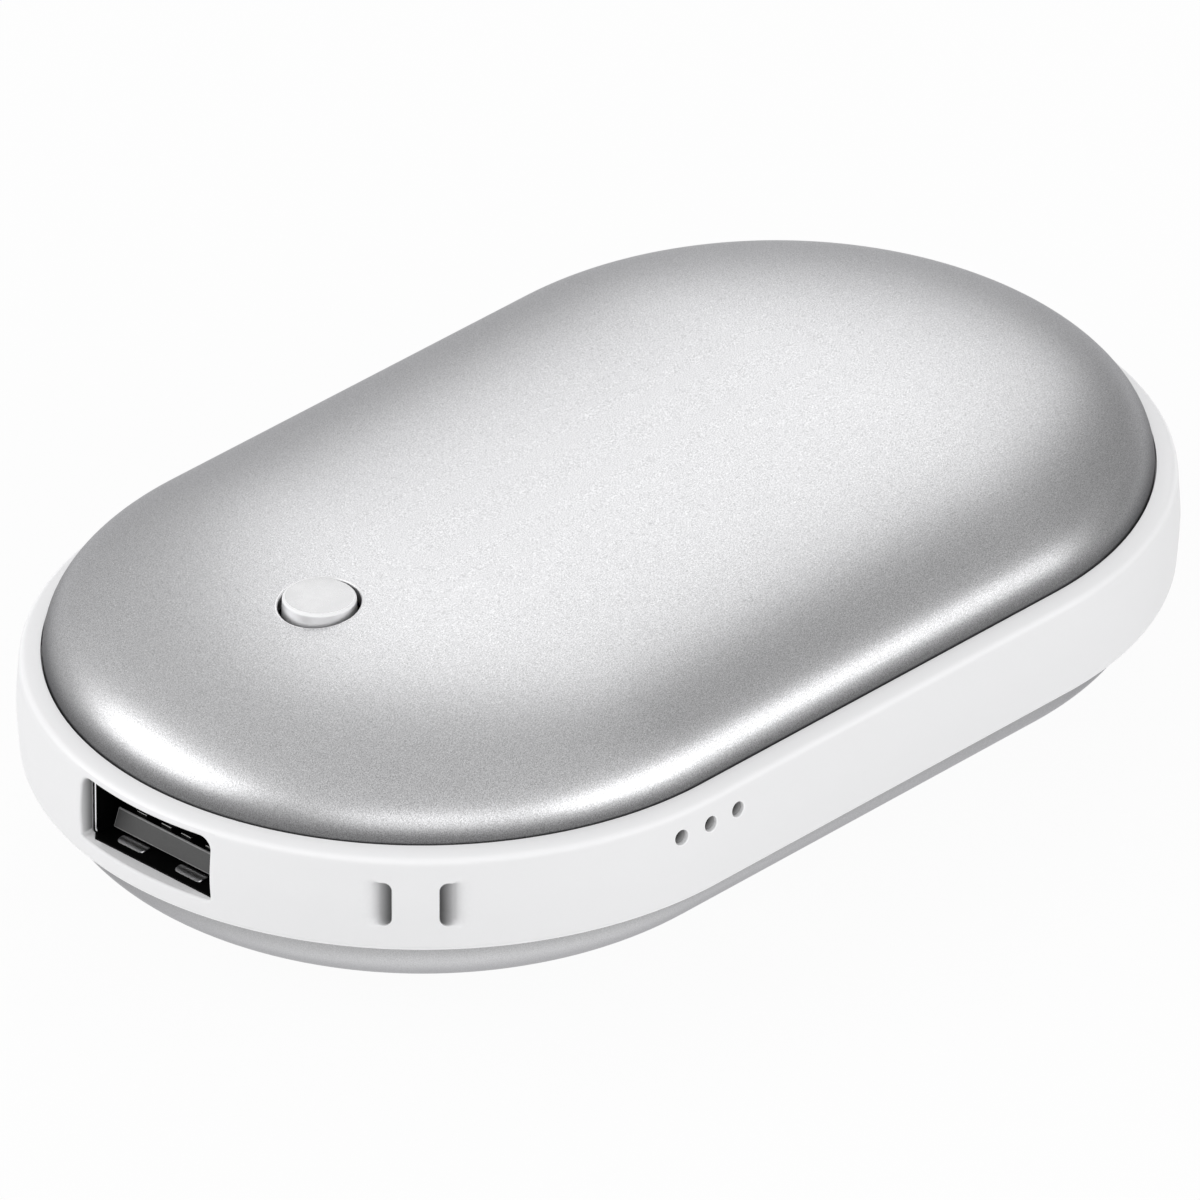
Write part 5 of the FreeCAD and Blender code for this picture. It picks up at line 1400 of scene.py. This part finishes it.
def shade_lip(skin):
    """A thin near-black lip on the floor of the ring's cut: a dark sheet of painted shade."""
    low = MIDDLE + USB_CUT_LOW
    top = low + LIP_THICKNESS
    loops = []
    for y, reach in ((-LIP_HALF, LIP_REACH), (LIP_HALF - LIP_TAPER, LIP_REACH), (LIP_HALF, 0.0)):
        face = USB_LOW.x - LIP_THICKNESS - reach
        corners = ((face, low), (face + LIP_THICKNESS, top), (USB_LOW.x, top), (USB_LOW.x, low))
        loops.append([(x, y, z) for x, z in corners])
    skin.closed(loops)


class WARMER_OT_charge_socket(bpy.types.Operator):
    """Build the charging socket: sheet and tongue"""
    bl_idname = "warmer.charge_socket"
    bl_label = "Charging socket"

    def execute(self, context):
        look = context.scene.warmer_look
        low, high = INLET_LOW.z, INLET_HIGH.z
        outer = outline_loop(inlet_corners(INLET_HALF, low, high, INLET_CORNER), *INLET_STEPS)[0]
        inner = inlet_corners(INLET_HALF - INLET_SHEET, low + INLET_SHEET, high - INLET_SHEET,
                              INLET_CORNER - INLET_SHEET / 2)
        inside = outline_loop(inner, *INLET_STEPS)[0]

        def ring(points, y):
            return [(INLET_X - x, y, z) for x, z in points]

        edge = INLET_SHEET / 3
        skin = Skin()
        skin.closed([ring(outer, INLET_LOW.y), ring(outer, INLET_HIGH.y - edge),
                     ring((outer + inside) / 2, INLET_HIGH.y), ring(inside, INLET_HIGH.y - edge),
                     ring(inside, INLET_LOW.y + INLET_SHEET)])
        sheet = skin.build("charge_sheet", [finish("socket_steel")], SOCKET_SHARP)
        place(sheet, "case", "socket_steel", "charge_shell")

        skin = Skin()
        half = (INLET_TONGUE_HIGH.x - INLET_TONGUE_LOW.x) / 2
        section = box_corners(half, INLET_TONGUE_LOW.z, INLET_TONGUE_HIGH.z, TONGUE_EDGE)
        bar(skin, section, lambda u, v, run: (INLET_X - u, run, v),
            INLET_TONGUE_HIGH.y, INLET_TONGUE_LOW.y, TONGUE_EDGE)
        tongue = skin.build("charge_tongue_bar", [finish("tongue_plastic", look)], SOCKET_SHARP)
        place(tongue, "case", "socket_plastic", "charge_tongue")
        return {"FINISHED"}


class WARMER_OT_lights(bpy.types.Operator):
    """Build the milky light pipe with its three round windows"""
    bl_idname = "warmer.lights"
    bl_label = "Light windows"

    def execute(self, context):
        skin = Skin()
        level = MIDDLE + LIGHT_HEIGHT
        for k in (-1, 0, 1):
            off = min(0.0, LIGHT_X + k * LIGHT_PITCH - NEAR_CENTRE.x)
            tip = math.sqrt(wall_radius(LIGHT_HEIGHT) ** 2 - off ** 2) - LIGHT_INSET
            root = tip - PRONG_LENGTH
            profile = [(PRONG_RADIUS * math.sin(a), tip - PRONG_DOME * (1 - math.cos(a)))
                       for a in quarter_turn(PRONG_STEPS)]
            profile += [(PRONG_RADIUS, root), (0, root)]
            turned(skin, (LIGHT_X + k * LIGHT_PITCH, 0, level), (0, -1, 0), profile, TURNED_STEPS // 2)
        inner = PIPE_HIGH.y
        section = box_corners((PIPE_HIGH.x - PIPE_LOW.x) / 2, PIPE_LOW.z, PIPE_HIGH.z, TONGUE_EDGE, LIGHT_X)
        bar(skin, section, lambda u, v, run: (u, run, v), inner, inner - PIPE_BAR_WIDTH, TONGUE_EDGE)
        pipe = skin.build("light_windows", [light_milk(context.scene.warmer_look)], SHARP)
        place(pipe, "case", "light_plastic", "light_pipe")
        return {"FINISHED"}


class WARMER_OT_inner_parts(bpy.types.Operator):
    """Give each inner solid the finish of its material"""
    bl_idname = "warmer.inner_parts"
    bl_label = "Inner parts"

    def execute(self, context):
        made = {name: striped(name, *values) for name, values in SHEETS.items()}
        for part in frame["record"]["subparts"]:
            solid = frame["nodes"][part["node"]]
            slot = part["material_slot"]
            if solid.hide_render:
                continue
            if slot not in made:
                made[slot] = finish(slot)
            solid.data.materials.clear()
            solid.data.materials.append(made[slot])
        return {"FINISHED"}


# Stage

def camera_back(azimuth, elevation):
    """From the target towards the camera."""
    return Vector((math.sin(azimuth) * math.cos(elevation), -math.cos(azimuth) * math.cos(elevation),
                   math.sin(elevation)))


def soft_lamp(stage, side):
    """An area lamp that faces the warmer."""
    turn, elevation, width, height = LAMPS[side]
    azimuth = stage.azimuth + math.pi + math.radians(turn)
    towards = camera_back(azimuth, math.radians(elevation))
    data = bpy.data.lights.new(f"{side}_softbox", "AREA")
    data.shape = "RECTANGLE"
    data.size = width
    data.size_y = height
    data.energy = getattr(stage, f"{side}_lamp") * math.pi * width * height
    softbox = bpy.data.objects.new(data.name, data)
    softbox.location = Vector(stage.target) + towards * LAMP_DISTANCE
    softbox.rotation_euler = towards.to_track_quat("Z", "Y").to_euler()
    softbox.visible_camera = False
    bpy.context.scene.collection.objects.link(softbox)


def floor_finish(stage):
    """Matt floor that the camera and the gloss of the warmer see as nearly plain white."""
    material = grained("studio_floor", stage.floor, 0.004, 2 * MM, (0.85, 0.95), 0.0,
                       specular_ior_level=0.0)
    tree = material.node_tree
    path = add_node(tree, "ShaderNodeLightPath")
    seen = maths(tree, "ADD", path.outputs["Is Camera Ray"], path.outputs["Is Glossy Ray"])
    seen = maths(tree, "ADD", seen, path.outputs["Is Transmission Ray"])
    amount = maths(tree, "MULTIPLY", maths(tree, "MINIMUM", seen, 1.0), stage.floor_white)
    glow = add_node(tree, "ShaderNodeEmission", Strength=1.0)
    both = add_node(tree, "ShaderNodeMixShader")
    tree.links.new(amount, both.inputs["Fac"])
    tree.links.new(tree.nodes["Principled BSDF"].outputs["BSDF"], both.inputs[1])
    tree.links.new(glow.outputs["Emission"], both.inputs[2])
    tree.links.new(both.outputs["Shader"], tree.nodes["Material Output"].inputs["Surface"])
    return material


def studio_room(stage):
    """Even light all round, dimmer towards the unlit corner of the room behind on the right."""
    world = bpy.data.worlds.new("studio_room")
    world.use_nodes = True
    tree = world.node_tree
    background = tree.nodes["Background"]
    background.inputs["Color"].default_value = (1, 1, 1, 1)
    azimuth = stage.azimuth + math.pi + math.radians(CORNER_TURN)
    corner = camera_back(azimuth, math.radians(CORNER_ELEVATION))
    place_node = add_node(tree, "ShaderNodeTexCoord")
    facing = along(tree, place_node.outputs["Generated"], corner)
    level = map_range(tree, facing, CORNER_REACH, 1.0, stage.room, stage.room_corner, True)
    tree.links.new(level, background.inputs["Strength"])
    return world


class WARMER_OT_stage(bpy.types.Operator):
    """Build the floor, the lamps and the camera"""
    bl_idname = "warmer.stage"
    bl_label = "Stage"

    def execute(self, context):
        stage = context.scene.warmer_stage
        work = bmesh.new()
        bmesh.ops.create_circle(work, cap_ends=True, radius=FLOOR_RADIUS, segments=TURNED_STEPS)
        mesh = bpy.data.meshes.new("studio_floor")
        work.to_mesh(mesh)
        work.free()
        mesh.materials.append(floor_finish(stage))
        floor = bpy.data.objects.new("studio_floor", mesh)
        context.scene.collection.objects.link(floor)

        for side in LAMPS:
            soft_lamp(stage, side)
        context.scene.world = studio_room(stage)
        context.scene.view_settings.view_transform = "Standard"

        data = bpy.data.cameras.new("photo_camera")
        data.sensor_width = SENSOR_WIDTH
        data.lens = stage.lens
        data.clip_end = CLIP_END
        camera = bpy.data.objects.new("photo_camera", data)
        back = camera_back(stage.azimuth, stage.elevation)
        turn = back.to_track_quat("Z", "Y").to_matrix() @ Matrix.Rotation(stage.roll, 3, "Z")
        stand = Vector(stage.target) + back * stage.distance
        camera.matrix_world = Matrix.Translation(stand) @ turn.to_4x4()
        context.scene.collection.objects.link(camera)
        context.scene.camera = camera
        return {"FINISHED"}


class WARMER_PT_panel(bpy.types.Panel):
    """Lists the steps that dress the warmer"""
    bl_idname = "WARMER_PT_panel"
    bl_label = "Hand Warmer"
    bl_space_type = "VIEW_3D"
    bl_region_type = "UI"
    bl_category = "Hand Warmer"

    def draw(self, context):
        for step in STEPS:
            self.layout.operator(step.bl_idname)
        for group in (context.scene.warmer_sizes, context.scene.warmer_look, context.scene.warmer_stage):
            column = self.layout.column()
            for name in group.__annotations__:
                column.prop(group, name)


GROUPS = (("warmer_sizes", WarmerSizes), ("warmer_look", WarmerLook), ("warmer_stage", WarmerStage))
STEPS = (WARMER_OT_ring, WARMER_OT_shells, WARMER_OT_button, WARMER_OT_snap_disc, WARMER_OT_usb_socket,
         WARMER_OT_charge_socket, WARMER_OT_lights, WARMER_OT_inner_parts, WARMER_OT_stage)


def register():
    for name, group in GROUPS:
        bpy.utils.register_class(group)
        setattr(bpy.types.Scene, name, PointerProperty(type=group))
    for step in (*STEPS, WARMER_PT_panel):
        bpy.utils.register_class(step)


def unregister():
    for step in (WARMER_PT_panel, *reversed(STEPS)):
        bpy.utils.unregister_class(step)
    for name, group in reversed(GROUPS):
        delattr(bpy.types.Scene, name)
        bpy.utils.unregister_class(group)


def main():
    register()
    for step in STEPS:
        family, action = step.bl_idname.split(".")
        getattr(getattr(bpy.ops, family), action)()


if __name__ == "__main__":
    main()
